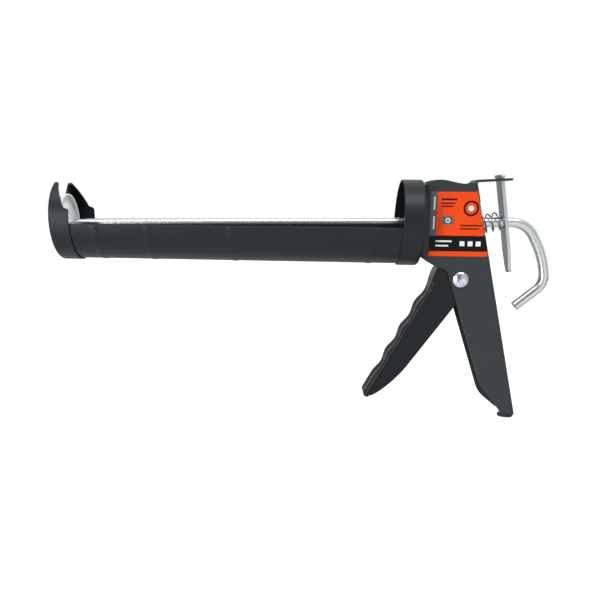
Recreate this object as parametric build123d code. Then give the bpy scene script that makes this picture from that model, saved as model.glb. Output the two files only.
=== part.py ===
from build123d import *
import math
import os

# Caulking gun with a half-round barrel, a toothed push rod and a thumb release.
# All lengths are in millimetres and all angles in degrees.
# Frame: +X runs from the nozzle end to the rod's hook, +Z is up and the barrel's axis is
# the X axis. The origin is the centre of the nozzle opening, on the front cap's outer
# face. The rod droops a little towards its plunger, so its axis isn't quite the X axis.

CUT_EDGE = 0.3               # rounding of a cut edge of sheet
CUT_OVER = 1.0               # how far a cutting tool runs past what it cuts
END_FLAT = 0.1               # half of the flat left at the middle of a rounded end

# Barrel: front cap, trough and rear collar are nested pressings round one cartridge.
CARTRIDGE_RADIUS = 24.75
CARTRIDGE_CLEARANCE = 0.25
BARREL_SHEET = 1.0
NEST_CLEARANCE = 0.05
CRADLE_LENGTH = 227.4        # front cap's face to the collar's front rim
COLLAR_DEPTH = 13.2
CAP_DEPTH = 14.0
CUP_CORNER = 1.9             # outer radius of the corner of the cap and of the collar
NOZZLE_RADIUS = 12.0
SLOT_HALF_WIDTH = 8.2        # the nozzle slot between the two horns
SLOT_MOUTH_HALF_WIDTH = 12.5
SLOT_FLARE_START = 17.0      # height at which the slot starts to flare
SLOT_FLARE_END = 22.5
HORN_LEAN = 24.4             # the horns' rear edges lean forward from the vertical
HORN_ROOT_DEPTH = 10.5       # depth of the cap's wall where the horns begin
HORN_ROOT_HEIGHT = 8.1
HORN_ROOT_RADIUS = 1.2
HORN_SHOULDER_DROP = 1.2     # the wall's full depth begins this far below the horns
HORN_SHOULDER_RADIUS = 1.8
TROUGH_RIM_HEIGHT = -2.2
BEADS_FROM_CAP = (30.5, 65.5, 120.5)
BEADS_FROM_COLLAR = (18.4,)
BEAD_LENGTH = 7.0
BEAD_HEIGHT = 0.35

# Rod, with its teeth on top and its hook hanging down
ROD_RADIUS = 3.25
ROD_BORE_CLEARANCE = 0.1
ROD_DROOP = 0.81             # the rod hangs this far down towards its plunger
ROD_RISE = 0.33              # height of its axis at the frame's front face
TOOTH_PITCH = 4.463
TOOTH_START = 24.3
TOOTH_REACH = 22.0           # the teeth run this far behind the frame's front face, at rest
TOOTH_DEPTH = 1.0
TOOTH_LENGTH = 2.2
TOOTH_FLAT = 0.4             # flat bottom of a notch
ROD_NECK_RADIUS = 2.9        # reduced end of the rod behind the plunger
ROD_NECK_LENGTH = 6.2
ROD_TAPER_LENGTH = 6.0
SPIGOT_RADIUS = 2.5
HOOK_START = 19.4            # lever's pivot to the corner where the hook leaves the rod
HOOK_UPPER_RUN = 12.4        # each leg of the hook: its run along the rod and its drop
HOOK_UPPER_DROP = 22.3
HOOK_BACK_RUN = 2.6
HOOK_BACK_DROP = 16.7
HOOK_END_RUN = -17.3
HOOK_END_DROP = 15.3
HOOK_UPPER_RADIUS = 16.5
HOOK_BACK_RADIUS = 56.0
HOOK_LOWER_RADIUS = 11.0

# Plunger plate and its washer
PLUNGER_EDGE_GAP = 5.15      # plunger's rim to the cartridge's wall
PLUNGER_SHEET = 1.2
PLUNGER_CAP_GAP = 0.6        # plunger's face to the inside of the front cap
PLUNGER_HUB_SETBACK = 1.6    # the hub stands this far behind the face
PLUNGER_RING_WIDTH = 6.1     # the flat ring in front, outside the step
PLUNGER_STEP_WIDTH = 2.5
PLUNGER_RIM_DEPTH = 3.8
PLUNGER_RIM_RADIUS = 1.8
PLUNGER_DISH_RADIUS = 0.8    # rounding of the step between the hub and the face
PLUNGER_STEP_SHIFT = 0.5     # the step lies this much further out on the rear side
PLUNGER_WASHER_RADIUS = 5.5
PLUNGER_WASHER_THICKNESS = 1.0
ROD_HEAD_RADIUS = 4.0
ROD_HEAD_THICKNESS = 1.2
ROD_HEAD_CHAMFER = 0.6

# Handle frame: folded sheet, a box at the top and an open channel below
FRAME_SHEET = 1.5
FRAME_TOP_DEPTH = 31.9       # front wall to spine at the top
FRAME_TOP_HEIGHT = 25.9
HUMP_OFFSET = 12.6           # front wall to the hump of the top edge
HUMP_RISE = 0.8              # hump's height over the spine's top
DIP_OFFSET = 24.8
DIP_RISE = -1.4
FRAME_FRONT_RISE = -2.2      # top edge at the front wall
FRAME_BEND_RADIUS = 2.6
SPINE_LEAN = 14.92
GRIP_LEAN = 20.5
THROAT_SETBACK = 9.1         # the corner where the grip begins, ahead of the trigger's pivot
THROAT_HEIGHT = -29.1
THROAT_RADIUS = 4.0
CHIN_OFFSET = 8.3            # front wall to the chin corner ahead of the throat
CHIN_HEIGHT = -25.6
CHIN_RADIUS = 8.0
FRAME_FRONT_BOTTOM = -20.0
FOOT_HEIGHT = -129.2         # underside of the foot
NEAR_HEEL_RISE = 24.8        # foot to the corner where the near plate's edge turns
NEAR_HEEL_RADIUS = 30.0
FAR_HEEL_RISE = 14.1         # the far plate's edge turns lower
FAR_HEEL_RADIUS = 18.0
TOE_RISE = 3.9
TOE_SETBACK = 8.8
TOE_RADIUS = 1.0
FOOT_LENGTH = 10.0
FOOT_WIDTH = 8.8
TONGUE_LENGTH = 23.3
TONGUE_SIDE_INSET = 0.7      # frame's side face to the tongue's side
TONGUE_TILT = 3.0
TONGUE_RISE = 1.1            # tongue's upper face above the spine's top at the bend
BEND_INNER = 0.8             # inner radius of the tongue's and foot's bends
TONGUE_ROOT = 12.0           # how far down the spine the tongue's strip runs

# Trigger: folded channel inside the handle frame
TRIGGER_WIDTH = 15.0
TRIGGER_SIDE_CLEARANCE = 0.4
TRIGGER_SHEET = 1.5
PIVOT_SETBACK = 4.4          # trigger's pivot, ahead of the spine's top
PIVOT_HEIGHT = -35.0
TRIGGER_BOSS_RADIUS = 8.7
ARM_LENGTH = 26.0
ARM_REST_LEAN = 12.5         # the arm swings this far behind, then in front, of its pivot
ARM_NOSE_RADIUS = 4.0
ARM_ROOT_RADIUS = 6.0
ARM_NECK_RADIUS = 3.0        # half the arm's width where it meets the nose
FRONT_LEAN = 26.9            # lean of the trigger's front edge
FRONT_TOP_SETBACK = 18.0     # the front edge's reference point, ahead of the pivot
FRONT_TOP_HEIGHT = -38.3
WAVE_COUNT = 4
WAVE_PITCH = 18.5
WAVE_FIRST = 6.7             # first finger groove, measured down the front edge
WAVE_HEIGHT = 0.85
WEB_ABOVE = 16.5             # the front edge runs this far above its reference point
FRONT_LENGTH = 84.9          # reference point to the start of the trigger's tip
TIP_RADIUS = 3.0
TIP_TURN = 60.0              # the rear edge leaves the tip this far below its centre's level
REAR_TOP_OFFSET = 1.0        # the rear edge's top, behind the pivot
REAR_TOP_HEIGHT = -48.5
REAR_LEAN = 33.5
REAR_LENGTH = 56.0
REAR_BULGE = 1.5             # bow of the edge between the straight rear edge and the tip

# Pivot rivet and its washer
RIVET_RADIUS = 3.0
RIVET_CLEARANCE = 0.05
RIVET_HEAD_RADIUS = 4.85
RIVET_HEAD_HEIGHT = 2.2
RIVET_FAR_HEAD_RADIUS = 4.4
RIVET_RIM_SHARE = 0.3        # the upright rim's share of any rivet head's height
RIVET_WASHER_RADIUS = 5.5
RIVET_WASHER_THICKNESS = 0.8

# Collar rivets
COLLAR_RIVET_RADIUS = 1.6
COLLAR_RIVET_HEAD_HEIGHT = 1.2
COLLAR_RIVET_EDGE_GAP = 0.3  # head to the frame's inner bend
COLLAR_RIVET_MIDDLE_GAP = 1.0
COLLAR_RIVET_HEIGHTS = (-13.0, 15.0)

# Drive plates and return spring
DRIVE_PLATE_THICKNESS = 1.6
DRIVE_PLATE_SIDE_GAP = 0.3   # drive plate to the frame's side plates
DRIVE_PLATE_BOTTOM = -13.5
DRIVE_PLATE_TOP = 13.0
DRIVE_PLATE_CORNER = 2.5
CONTACT_GAP = 0.1
RETURN_WIRE_RADIUS = 0.6
RETURN_COIL_RADIUS = 4.7
RETURN_TURNS = 6.0
SPRING_WASHER_THICKNESS = 1.0
SPRING_WASHER_GAP = 0.2      # washer to the frame's inner bend

# Release lever and its spring
LEVER_THICKNESS = 2.0
LEVER_WIDTH = 12.6
LEVER_LEAN = 11.5
LEVER_TRAVEL = 8.0
LEVER_OFFSET = 15.8          # spine's top to the lever's pivot in the tongue
LEVER_LENGTH = 58.6          # pivot to the lever's lower end
LEVER_END_WIDTH = 7.0
LEVER_END_CORNER = 2.6
LEVER_SIDE_RADIUS = 6.0      # where the straight sides turn into the taper
LEVER_TAPER = 14.0
LEVER_HEAD_OVERHANG = 1.9
LEVER_HEAD_HEIGHT = 1.9
LEVER_HEAD_CORNER = 0.8
LEVER_HEAD_GAP = 0.5
LEVER_HOLE_CLEARANCE = 0.35
SLOT_CLEARANCE = 0.3
RELEASE_WIRE_RADIUS = 0.45
RELEASE_COIL_RADIUS = 5.6
RELEASE_PITCH = 4.2
RELEASE_END_GAP = 0.4
RELEASE_START = 205.0        # where the coil's wire starts, as a turn about its axis

# Label
LABEL_THICKNESS = 0.15
LABEL_TOP = 19.7
LABEL_BOTTOM = -20.1
LABEL_MARGIN = 4.2           # frame's front face to the label's front edge, at the top
LABEL_SKEW = 1.7             # the front edge runs this much further back at the bottom

# Values worked out from the ones above
TROUGH_INNER = CARTRIDGE_RADIUS + CARTRIDGE_CLEARANCE
TROUGH_OUTER = TROUGH_INNER + BARREL_SHEET
CUP_INNER = TROUGH_OUTER + NEST_CLEARANCE
CUP_OUTER = CUP_INNER + BARREL_SHEET
COLLAR_REAR = CRADLE_LENGTH + COLLAR_DEPTH
COLLAR_FLOOR = COLLAR_REAR - BARREL_SHEET
FRAME_FRONT = COLLAR_REAR
FRAME_WIDTH = TRIGGER_WIDTH + 2 * (TRIGGER_SIDE_CLEARANCE + FRAME_SHEET)
DRIVE_PLATE_WIDTH = FRAME_WIDTH - 2 * (FRAME_SHEET + DRIVE_PLATE_SIDE_GAP)
TONGUE_WIDTH = FRAME_WIDTH - 2 * TONGUE_SIDE_INSET
FRAME_FLAT_HALF = FRAME_WIDTH / 2 - FRAME_BEND_RADIUS
SPRING_WASHER_RADIUS = FRAME_FLAT_HALF - SPRING_WASHER_GAP
COLLAR_RIVET_HEAD_RADIUS = (FRAME_FLAT_HALF - COLLAR_RIVET_EDGE_GAP
                            - COLLAR_RIVET_MIDDLE_GAP / 2) / 2
SPINE_TOP_X = FRAME_FRONT + FRAME_TOP_DEPTH
ROD_BORE_RADIUS = ROD_RADIUS + ROD_BORE_CLEARANCE
PIVOT_X = SPINE_TOP_X - PIVOT_SETBACK
THROAT_X = PIVOT_X - THROAT_SETBACK
PLUNGER_FACE = BARREL_SHEET + PLUNGER_CAP_GAP
PLUNGER_RADIUS = CARTRIDGE_RADIUS - PLUNGER_EDGE_GAP
PLUNGER_FACE_RADIUS = PLUNGER_RADIUS - PLUNGER_RING_WIDTH
PLUNGER_HUB_RADIUS = PLUNGER_FACE_RADIUS - PLUNGER_STEP_WIDTH
LEVER_PIVOT_X = SPINE_TOP_X + LEVER_OFFSET
TONGUE_TOP_AT_BEND = FRAME_TOP_HEIGHT + TONGUE_RISE
ROD_SLOPE = math.tan(math.radians(ROD_DROOP))
ROD_PLACE = Pos(FRAME_FRONT, 0, ROD_RISE) * Rot(0, -ROD_DROOP, 0) * Pos(-FRAME_FRONT, 0, 0)


def side_face(outline):
    """Face in the X-Z plane bounded by a closed outline."""
    return Plane.XZ * make_face(outline)


def slab(outline, width, middle=0.0):
    """Solid of the given width in Y, centred on middle, with a side-view outline."""
    solid = extrude(side_face(outline), amount=width / 2, both=True)
    return Pos(0, middle, 0) * solid


def rounded(points, radii):
    """Closed outline of straight edges with one radius for each corner."""
    return FilletPolyline(*points, radius=radii, close=True)


def x_disc(radius, start, end, y=0.0, z=0.0):
    """Solid cylinder along X, between two X stations."""
    face = Plane.YZ * Circle(radius)
    return Pos(start, y, z) * extrude(face, amount=end - start)


def y_disc(radius, start, end, x=0.0, z=0.0):
    """Solid cylinder along Y, between two Y stations."""
    length = end - start
    return Pos(x, start + length / 2, z) * Rot(90, 0, 0) * Cylinder(radius, length)


def rod_z(x):
    """Height of the rod's axis at an X station."""
    return ROD_RISE + (x - FRAME_FRONT) * ROD_SLOPE


def rod_bore(start, end):
    """Cutter for the rod's hole between two stations."""
    return ROD_PLACE * x_disc(ROD_BORE_RADIUS, start - CUT_OVER, end + CUT_OVER)


def turned(outline):
    """Solid of revolution about the X axis; the outline lies in the X-Y plane."""
    return revolve(make_face(outline), axis=Axis.X)


def spine_x(z):
    """X of the spine's rear face at a height."""
    return SPINE_TOP_X + (FRAME_TOP_HEIGHT - z) * math.tan(math.radians(SPINE_LEAN))


def spine_inner_x(z):
    """X of the spine's front face at a height."""
    return spine_x(z) - FRAME_SHEET / math.cos(math.radians(SPINE_LEAN))


def grip_front_x(z):
    """X of the handle's straight front edge at a height."""
    return THROAT_X + (THROAT_HEIGHT - z) * math.tan(math.radians(GRIP_LEAN))


def tongue_top_z(x):
    """Height of the tongue's upper face at an X station."""
    return TONGUE_TOP_AT_BEND + (x - SPINE_TOP_X) * math.tan(math.radians(TONGUE_TILT))


def tongue_bottom_z(x):
    """Height of the tongue's lower face at an X station."""
    return tongue_top_z(x) - FRAME_SHEET / math.cos(math.radians(TONGUE_TILT))


LEVER_PIVOT_Z = (tongue_top_z(LEVER_PIVOT_X) + tongue_bottom_z(LEVER_PIVOT_X)) / 2


# ---------------------------------------------------------------- barrel
def make_front_cap():
    """Pressed cup with a round opening, a slot above it and two horns."""
    inner_corner = CUP_CORNER - BARREL_SHEET
    section = rounded(
        [(0, 0), (0, CUP_OUTER), (CAP_DEPTH, CUP_OUTER), (CAP_DEPTH, CUP_INNER),
         (BARREL_SHEET, CUP_INNER), (BARREL_SHEET, 0)],
        [0, CUP_CORNER, CUT_EDGE, CUT_EDGE, inner_corner, 0])
    cup = turned(section)
    cup -= x_disc(NOZZLE_RADIUS, -CUT_OVER, BARREL_SHEET + CUT_OVER)
    top = CUP_OUTER + CUT_OVER
    slot = Polyline(
        (-SLOT_HALF_WIDTH, 0), (SLOT_HALF_WIDTH, 0), (SLOT_HALF_WIDTH, SLOT_FLARE_START),
        (SLOT_MOUTH_HALF_WIDTH, SLOT_FLARE_END), (SLOT_MOUTH_HALF_WIDTH, top),
        (-SLOT_MOUTH_HALF_WIDTH, top), (-SLOT_MOUTH_HALF_WIDTH, SLOT_FLARE_END),
        (-SLOT_HALF_WIDTH, SLOT_FLARE_START), close=True)
    cup -= Pos(-CUT_OVER, 0, 0) * extrude(Plane.YZ * make_face(slot), amount=2 * CAP_DEPTH)
    horn_run = (top - HORN_ROOT_HEIGHT) * math.tan(math.radians(HORN_LEAN))
    shoulder = HORN_ROOT_HEIGHT - HORN_SHOULDER_DROP
    below = shoulder - 2 * HORN_SHOULDER_RADIUS
    past = CAP_DEPTH + CUT_OVER
    above_horns = rounded(
        [(HORN_ROOT_DEPTH - horn_run, top), (HORN_ROOT_DEPTH, HORN_ROOT_HEIGHT),
         (CAP_DEPTH, shoulder), (CAP_DEPTH, below), (past, below), (past, top)],
        [0, HORN_ROOT_RADIUS, HORN_SHOULDER_RADIUS, 0, 0, 0])
    return cup - slab(above_horns, 2 * top)


def bead(station, radius):
    """Lens-shaped area between the wall at a radius and the crest of one bead above it."""
    half = BEAD_LENGTH / 2
    crest = (station, radius + BEAD_HEIGHT)
    arc = ThreePointArc((station - half, radius), crest, (station + half, radius))
    return make_face(Curve() + [arc, Line(arc @ 1, arc @ 0)])


def make_barrel_trough():
    """Half-round trough with shallow beads pressed outwards and rounded end edges."""
    front = BARREL_SHEET
    rear = COLLAR_FLOOR
    outline = rounded(
        [(front, TROUGH_INNER), (rear, TROUGH_INNER), (rear, TROUGH_OUTER), (front, TROUGH_OUTER)],
        [0, 0, CUP_CORNER - BARREL_SHEET, CUP_CORNER - BARREL_SHEET])
    section = make_face(outline)
    from_collar = [CRADLE_LENGTH - distance for distance in BEADS_FROM_COLLAR]
    for station in [*BEADS_FROM_CAP, *from_collar]:
        section = section + bead(station, TROUGH_OUTER) - bead(station, TROUGH_INNER)
    tube = revolve(section, axis=Axis.X)
    span = 2 * (TROUGH_OUTER + 5)
    upper = Pos(CRADLE_LENGTH / 2, 0, TROUGH_RIM_HEIGHT + span / 2)
    return tube - upper * Box(2 * CRADLE_LENGTH, span, span)


def collar_rivet_places():
    """Y and Z of each collar rivet."""
    half = COLLAR_RIVET_HEAD_RADIUS + COLLAR_RIVET_MIDDLE_GAP / 2
    return [(y, z) for z in COLLAR_RIVET_HEIGHTS for y in (-half, half)]


def collar_rivet_holes():
    """Cutters for the collar rivets, through the collar's floor and the frame's wall."""
    end = FRAME_FRONT + FRAME_SHEET + CUT_OVER
    return [x_disc(COLLAR_RIVET_RADIUS, COLLAR_FLOOR - CUT_OVER, end, y, z)
            for y, z in collar_rivet_places()]


def make_rear_collar():
    """Pressed cup that opens forward, with holes for the rod and four rivets."""
    inner_corner = CUP_CORNER - BARREL_SHEET
    section = rounded(
        [(COLLAR_REAR, 0), (COLLAR_REAR, CUP_OUTER), (CRADLE_LENGTH, CUP_OUTER),
         (CRADLE_LENGTH, CUP_INNER), (COLLAR_FLOOR, CUP_INNER), (COLLAR_FLOOR, 0)],
        [0, CUP_CORNER, CUT_EDGE, CUT_EDGE, inner_corner, 0])
    return turned(section) - rod_bore(COLLAR_FLOOR, COLLAR_REAR) - collar_rivet_holes()


def crown(base_x, radius, height):
    """Arc of a spherical crown, from its rim to the X axis; a negative height faces -X."""
    ball = (radius**2 + height**2) / (2 * abs(height))
    side = math.copysign(1.0, height)
    centre_x = base_x + height - side * ball
    half_angle = math.asin(radius / ball) / 2
    middle = (centre_x + side * ball * math.cos(half_angle), ball * math.sin(half_angle))
    return ThreePointArc((base_x, radius), middle, (base_x + height, 0))


def make_rivet(shank_radius, grip, near_head, far_head):
    """Rivet on the X axis: its grip starts at X = 0 and each head is (radius, height)."""
    near_radius, near_height = near_head
    far_radius, far_height = far_head
    near_rim = -RIVET_RIM_SHARE * near_height
    far_rim = grip + RIVET_RIM_SHARE * far_height
    near_crown = crown(near_rim, near_radius, -(1 - RIVET_RIM_SHARE) * near_height)
    far_crown = crown(far_rim, far_radius, (1 - RIVET_RIM_SHARE) * far_height)
    side = Polyline(
        near_crown @ 0, (0, near_radius), (0, shank_radius),
        (grip, shank_radius), (grip, far_radius), far_crown @ 0)
    axis = Line(near_crown @ 1, far_crown @ 1)
    return turned(Curve() + [near_crown, side, far_crown, axis])


def make_collar_rivets():
    """Four rivets through the collar's floor and the frame's front wall."""
    head = (COLLAR_RIVET_HEAD_RADIUS, COLLAR_RIVET_HEAD_HEIGHT)
    rivet = make_rivet(COLLAR_RIVET_RADIUS, BARREL_SHEET + FRAME_SHEET, head, head)
    rivets = [Pos(COLLAR_FLOOR, y, z) * rivet for y, z in collar_rivet_places()]
    return Compound(children=rivets)


# ---------------------------------------------------------------- handle frame
def frame_wedge(inset, over):
    """Rounded box with a leaning rear face, inset from the frame's skin and taller than it."""
    lean = math.radians(SPINE_LEAN)
    top = FRAME_TOP_HEIGHT + over
    bottom = FOOT_HEIGHT - over
    shift = inset / math.cos(lean)
    outline = Polyline(
        (FRAME_FRONT + inset, top), (spine_x(top) - shift, top),
        (spine_x(bottom) - shift, bottom), (FRAME_FRONT + inset, bottom), close=True)
    wedge = slab(outline, FRAME_WIDTH - 2 * inset)
    uprights = [e for e in wedge.edges() if e.length > top - bottom - CUT_EDGE]
    return fillet(uprights, FRAME_BEND_RADIUS - inset)


def frame_side_outline(heel_rise, heel_radius):
    """Side view of the handle frame: humped top edge, chin, throat, grip, heel and toe."""
    heel_z = FOOT_HEIGHT + heel_rise
    toe_z = FOOT_HEIGHT + TOE_RISE
    front_top = (FRAME_FRONT, FRAME_TOP_HEIGHT + FRAME_FRONT_RISE)
    spine_top = (SPINE_TOP_X, FRAME_TOP_HEIGHT)
    hump = Spline(
        front_top, (FRAME_FRONT + HUMP_OFFSET, FRAME_TOP_HEIGHT + HUMP_RISE),
        (FRAME_FRONT + DIP_OFFSET, FRAME_TOP_HEIGHT + DIP_RISE), spine_top)
    below = FilletPolyline(
        spine_top, (spine_x(toe_z), toe_z), (spine_x(toe_z) - TOE_SETBACK, toe_z),
        (grip_front_x(heel_z), heel_z), (THROAT_X, THROAT_HEIGHT),
        (FRAME_FRONT + CHIN_OFFSET, CHIN_HEIGHT), (FRAME_FRONT, FRAME_FRONT_BOTTOM), front_top,
        radius=[CUT_EDGE, TOE_RADIUS, heel_radius, THROAT_RADIUS, CHIN_RADIUS, 0])
    return Curve() + [hump, below]


def tongue_plan(root_x, end_x, width):
    """Cutter that leaves a strip with a rounded end, from root_x to end_x."""
    nose = width / 2 - END_FLAT
    half = width / 2
    plan = rounded([(root_x, -half), (end_x, -half), (end_x, half), (root_x, half)],
                   [0, nose, nose, 0])
    height = 2 * (FRAME_TOP_HEIGHT - FOOT_HEIGHT)
    return Pos(0, 0, -height / 2) * extrude(make_face(plan), amount=height)


def make_tongue():
    """Slotted tongue bent back from the top of the spine."""
    end_x = SPINE_TOP_X + TONGUE_LENGTH
    low_z = FRAME_TOP_HEIGHT - TONGUE_ROOT
    lean = math.tan(math.radians(SPINE_LEAN))
    tilt = math.tan(math.radians(TONGUE_TILT))

    def corner(x_at_top, z_at_bend):
        """Meeting point of a spine face and a tongue face."""
        rise = z_at_bend - FRAME_TOP_HEIGHT
        run = (x_at_top - SPINE_TOP_X - rise * lean) / (1 + lean * tilt)
        return (SPINE_TOP_X + run, z_at_bend + run * tilt)

    front = corner(spine_inner_x(FRAME_TOP_HEIGHT), TONGUE_TOP_AT_BEND)
    rear = corner(SPINE_TOP_X, tongue_bottom_z(SPINE_TOP_X))
    outline = rounded(
        [(spine_inner_x(low_z), low_z), front, (end_x, tongue_top_z(end_x)),
         (end_x, tongue_bottom_z(end_x)), rear, (spine_x(low_z), low_z)],
        [0, FRAME_SHEET + BEND_INNER, CUT_EDGE, CUT_EDGE, BEND_INNER, 0])
    strip = slab(outline, TONGUE_WIDTH) & tongue_plan(FRAME_FRONT, end_x, TONGUE_WIDTH)
    lean_to_tongue = math.radians(LEVER_LEAN + TONGUE_TILT)
    slot_length = (LEVER_THICKNESS / math.cos(lean_to_tongue)
                   + FRAME_SHEET * math.tan(lean_to_tongue) + 2 * SLOT_CLEARANCE)
    slot = Box(slot_length, LEVER_WIDTH + 2 * SLOT_CLEARANCE, 4 * FRAME_SHEET)
    return strip - Pos(LEVER_PIVOT_X, 0, LEVER_PIVOT_Z) * slot


def make_foot():
    """Rounded foot bent forward from the bottom of the spine."""
    high_z = FOOT_HEIGHT + 2 * TOE_RISE
    foot_top = FOOT_HEIGHT + FRAME_SHEET
    rear_x = spine_x(FOOT_HEIGHT)
    tip_x = rear_x - FOOT_LENGTH
    outline = rounded(
        [(spine_x(high_z), high_z), (rear_x, FOOT_HEIGHT), (tip_x, FOOT_HEIGHT),
         (tip_x, foot_top), (spine_inner_x(foot_top), foot_top),
         (spine_inner_x(high_z), high_z)],
        [0, FRAME_SHEET + BEND_INNER, CUT_EDGE, CUT_EDGE, BEND_INNER, 0])
    return slab(outline, FOOT_WIDTH) & tongue_plan(rear_x + FOOT_LENGTH, tip_x, FOOT_WIDTH)


def make_handle_frame():
    """Folded sheet frame with every hole that the rod, rivets and lever need."""
    skin = frame_wedge(0, CUT_OVER)
    hollow = frame_wedge(FRAME_SHEET, 2 * CUT_OVER)
    near_side = frame_side_outline(NEAR_HEEL_RISE, NEAR_HEEL_RADIUS)
    far_side = frame_side_outline(FAR_HEEL_RISE, FAR_HEEL_RADIUS)
    near_half = slab(near_side, FRAME_WIDTH, -FRAME_WIDTH / 2)
    far_half = slab(far_side, FRAME_WIDTH, FRAME_WIDTH / 2)
    shell = skin - hollow
    frame = (shell & near_half) + (shell & far_half) + make_tongue() + make_foot()
    frame -= rod_bore(FRAME_FRONT, spine_x(0))
    hole = RIVET_RADIUS + RIVET_CLEARANCE
    frame -= y_disc(hole, -FRAME_WIDTH, FRAME_WIDTH, PIVOT_X, PIVOT_HEIGHT)
    return frame - collar_rivet_holes()


def make_label():
    """Thin label on the near side plate, between the two bends."""
    bend = FRAME_BEND_RADIUS / math.cos(math.radians(SPINE_LEAN))
    front = FRAME_FRONT + LABEL_MARGIN
    outline = Polyline(
        (front, LABEL_TOP), (spine_x(LABEL_TOP) - bend, LABEL_TOP),
        (spine_x(LABEL_BOTTOM) - bend, LABEL_BOTTOM), (front + LABEL_SKEW, LABEL_BOTTOM),
        close=True)
    return slab(outline, LABEL_THICKNESS, -(FRAME_WIDTH + LABEL_THICKNESS) / 2)


# ---------------------------------------------------------------- trigger
def front_point(along, out):
    """Point of the trigger's front edge: along it from the reference, and out from it."""
    lean = math.radians(FRONT_LEAN)
    x = PIVOT_X - FRONT_TOP_SETBACK - along * math.sin(lean) - out * math.cos(lean)
    z = FRONT_TOP_HEIGHT - along * math.cos(lean) + out * math.sin(lean)
    return (x, z)


def front_wave(inset):
    """Wavy front edge with four finger grooves, moved in by an inset."""
    points = [front_point(-WEB_ABOVE, WAVE_HEIGHT - inset)]
    for i in range(2 * WAVE_COUNT + 1):
        along = WAVE_FIRST + (i - 1) * WAVE_PITCH / 2
        swing = WAVE_HEIGHT if i % 2 == 0 else -WAVE_HEIGHT
        points.append(front_point(along, swing - inset))
    for stretch in ((along + FRONT_LENGTH) / 2, FRONT_LENGTH):
        points.append(front_point(stretch, WAVE_HEIGHT - inset))
    return Spline(*points)


def rear_point(along):
    """Point of the trigger's straight rear edge, measured down from its top."""
    lean = math.radians(REAR_LEAN)
    x = PIVOT_X + REAR_TOP_OFFSET - along * math.sin(lean)
    return (x, REAR_TOP_HEIGHT - along * math.cos(lean))


def tip_centre():
    """Centre of the trigger's rounded tip."""
    return front_point(FRONT_LENGTH, WAVE_HEIGHT - TIP_RADIUS)


def arm_point(along):
    """Point on the arm's centre line, at a distance from the pivot, at rest."""
    lean = math.radians(ARM_REST_LEAN)
    return (PIVOT_X + along * math.sin(lean), PIVOT_HEIGHT + along * math.cos(lean))


def arm_side():
    """Side view of an arm: a tapered root, a narrower neck and a round nose."""
    root = Pos(PIVOT_X, PIVOT_HEIGHT) * Circle(ARM_ROOT_RADIUS)
    middle = Pos(*arm_point(ARM_LENGTH / 2)) * Circle(ARM_NECK_RADIUS)
    neck = Pos(*arm_point(ARM_LENGTH)) * Circle(ARM_NECK_RADIUS)
    nose = Pos(*arm_point(ARM_LENGTH)) * Circle(ARM_NOSE_RADIUS)
    taper = make_hull(Compound(children=[root, middle]).edges())
    shaft = make_hull(Compound(children=[middle, neck]).edges())
    return taper + shaft + nose


def make_trigger():
    """Channel with a wavy front web, a boss round the rivet and two pushing arms."""
    cx, cz = tip_centre()
    wave = front_wave(0)
    tail = rear_point(REAR_LENGTH)
    turn = math.radians(TIP_TURN)
    low = (cx + math.cos(turn) * TIP_RADIUS, cz - math.sin(turn) * TIP_RADIUS)
    body_outline = Curve() + [
        wave, Polyline(wave @ 1, (cx, cz), low), SagittaArc(low, tail, -REAR_BULGE),
        Polyline(tail, rear_point(0), (PIVOT_X, PIVOT_HEIGHT), wave @ 0)]
    boss = Pos(PIVOT_X, PIVOT_HEIGHT) * Circle(TRIGGER_BOSS_RADIUS)
    tip = Pos(cx, cz) * Circle(TIP_RADIUS)
    shape = make_face(body_outline) + tip + boss + arm_side()
    solid = extrude(Plane.XZ * shape, amount=TRIGGER_WIDTH / 2, both=True)

    inner_wave = front_wave(TRIGGER_SHEET)
    inner_tip = TIP_RADIUS - TRIGGER_SHEET
    inner_low = (cx, cz - inner_tip)
    right = PIVOT_X + ARM_LENGTH
    above = -WEB_ABOVE - 2 * ARM_LENGTH
    top_left = front_point(above, WAVE_HEIGHT - TRIGGER_SHEET)
    slant = math.sqrt(0.5) * inner_tip
    inner_turn = ThreePointArc(inner_wave @ 1, (cx - slant, cz - slant), inner_low)
    room_outline = Curve() + [
        inner_wave, inner_turn,
        Polyline(inner_low, (right, inner_low[1]), (right, top_left[1]), top_left, inner_wave @ 0)]
    room = slab(room_outline, TRIGGER_WIDTH - 2 * TRIGGER_SHEET)
    trigger = solid - room
    hole = RIVET_RADIUS + RIVET_CLEARANCE
    return trigger - y_disc(hole, -TRIGGER_WIDTH, TRIGGER_WIDTH, PIVOT_X, PIVOT_HEIGHT)


def make_pivot_rivet():
    """Rivet with a domed near head and a smaller dome over the far washer."""
    near_head = (RIVET_HEAD_RADIUS, RIVET_HEAD_HEIGHT)
    far_head = (RIVET_FAR_HEAD_RADIUS, RIVET_HEAD_HEIGHT)
    rivet = make_rivet(RIVET_RADIUS, FRAME_WIDTH + RIVET_WASHER_THICKNESS, near_head, far_head)
    return Pos(PIVOT_X, -FRAME_WIDTH / 2, PIVOT_HEIGHT) * Rot(0, 0, 90) * rivet


def make_rivet_washer():
    """Washer between the frame's far plate and the rivet's far head."""
    start = FRAME_WIDTH / 2
    end = start + RIVET_WASHER_THICKNESS
    hole = RIVET_RADIUS + RIVET_CLEARANCE
    ring = y_disc(RIVET_WASHER_RADIUS, start, end)
    ring -= y_disc(hole, start - CUT_OVER, end + CUT_OVER)
    return Pos(PIVOT_X, 0, PIVOT_HEIGHT) * ring


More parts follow.
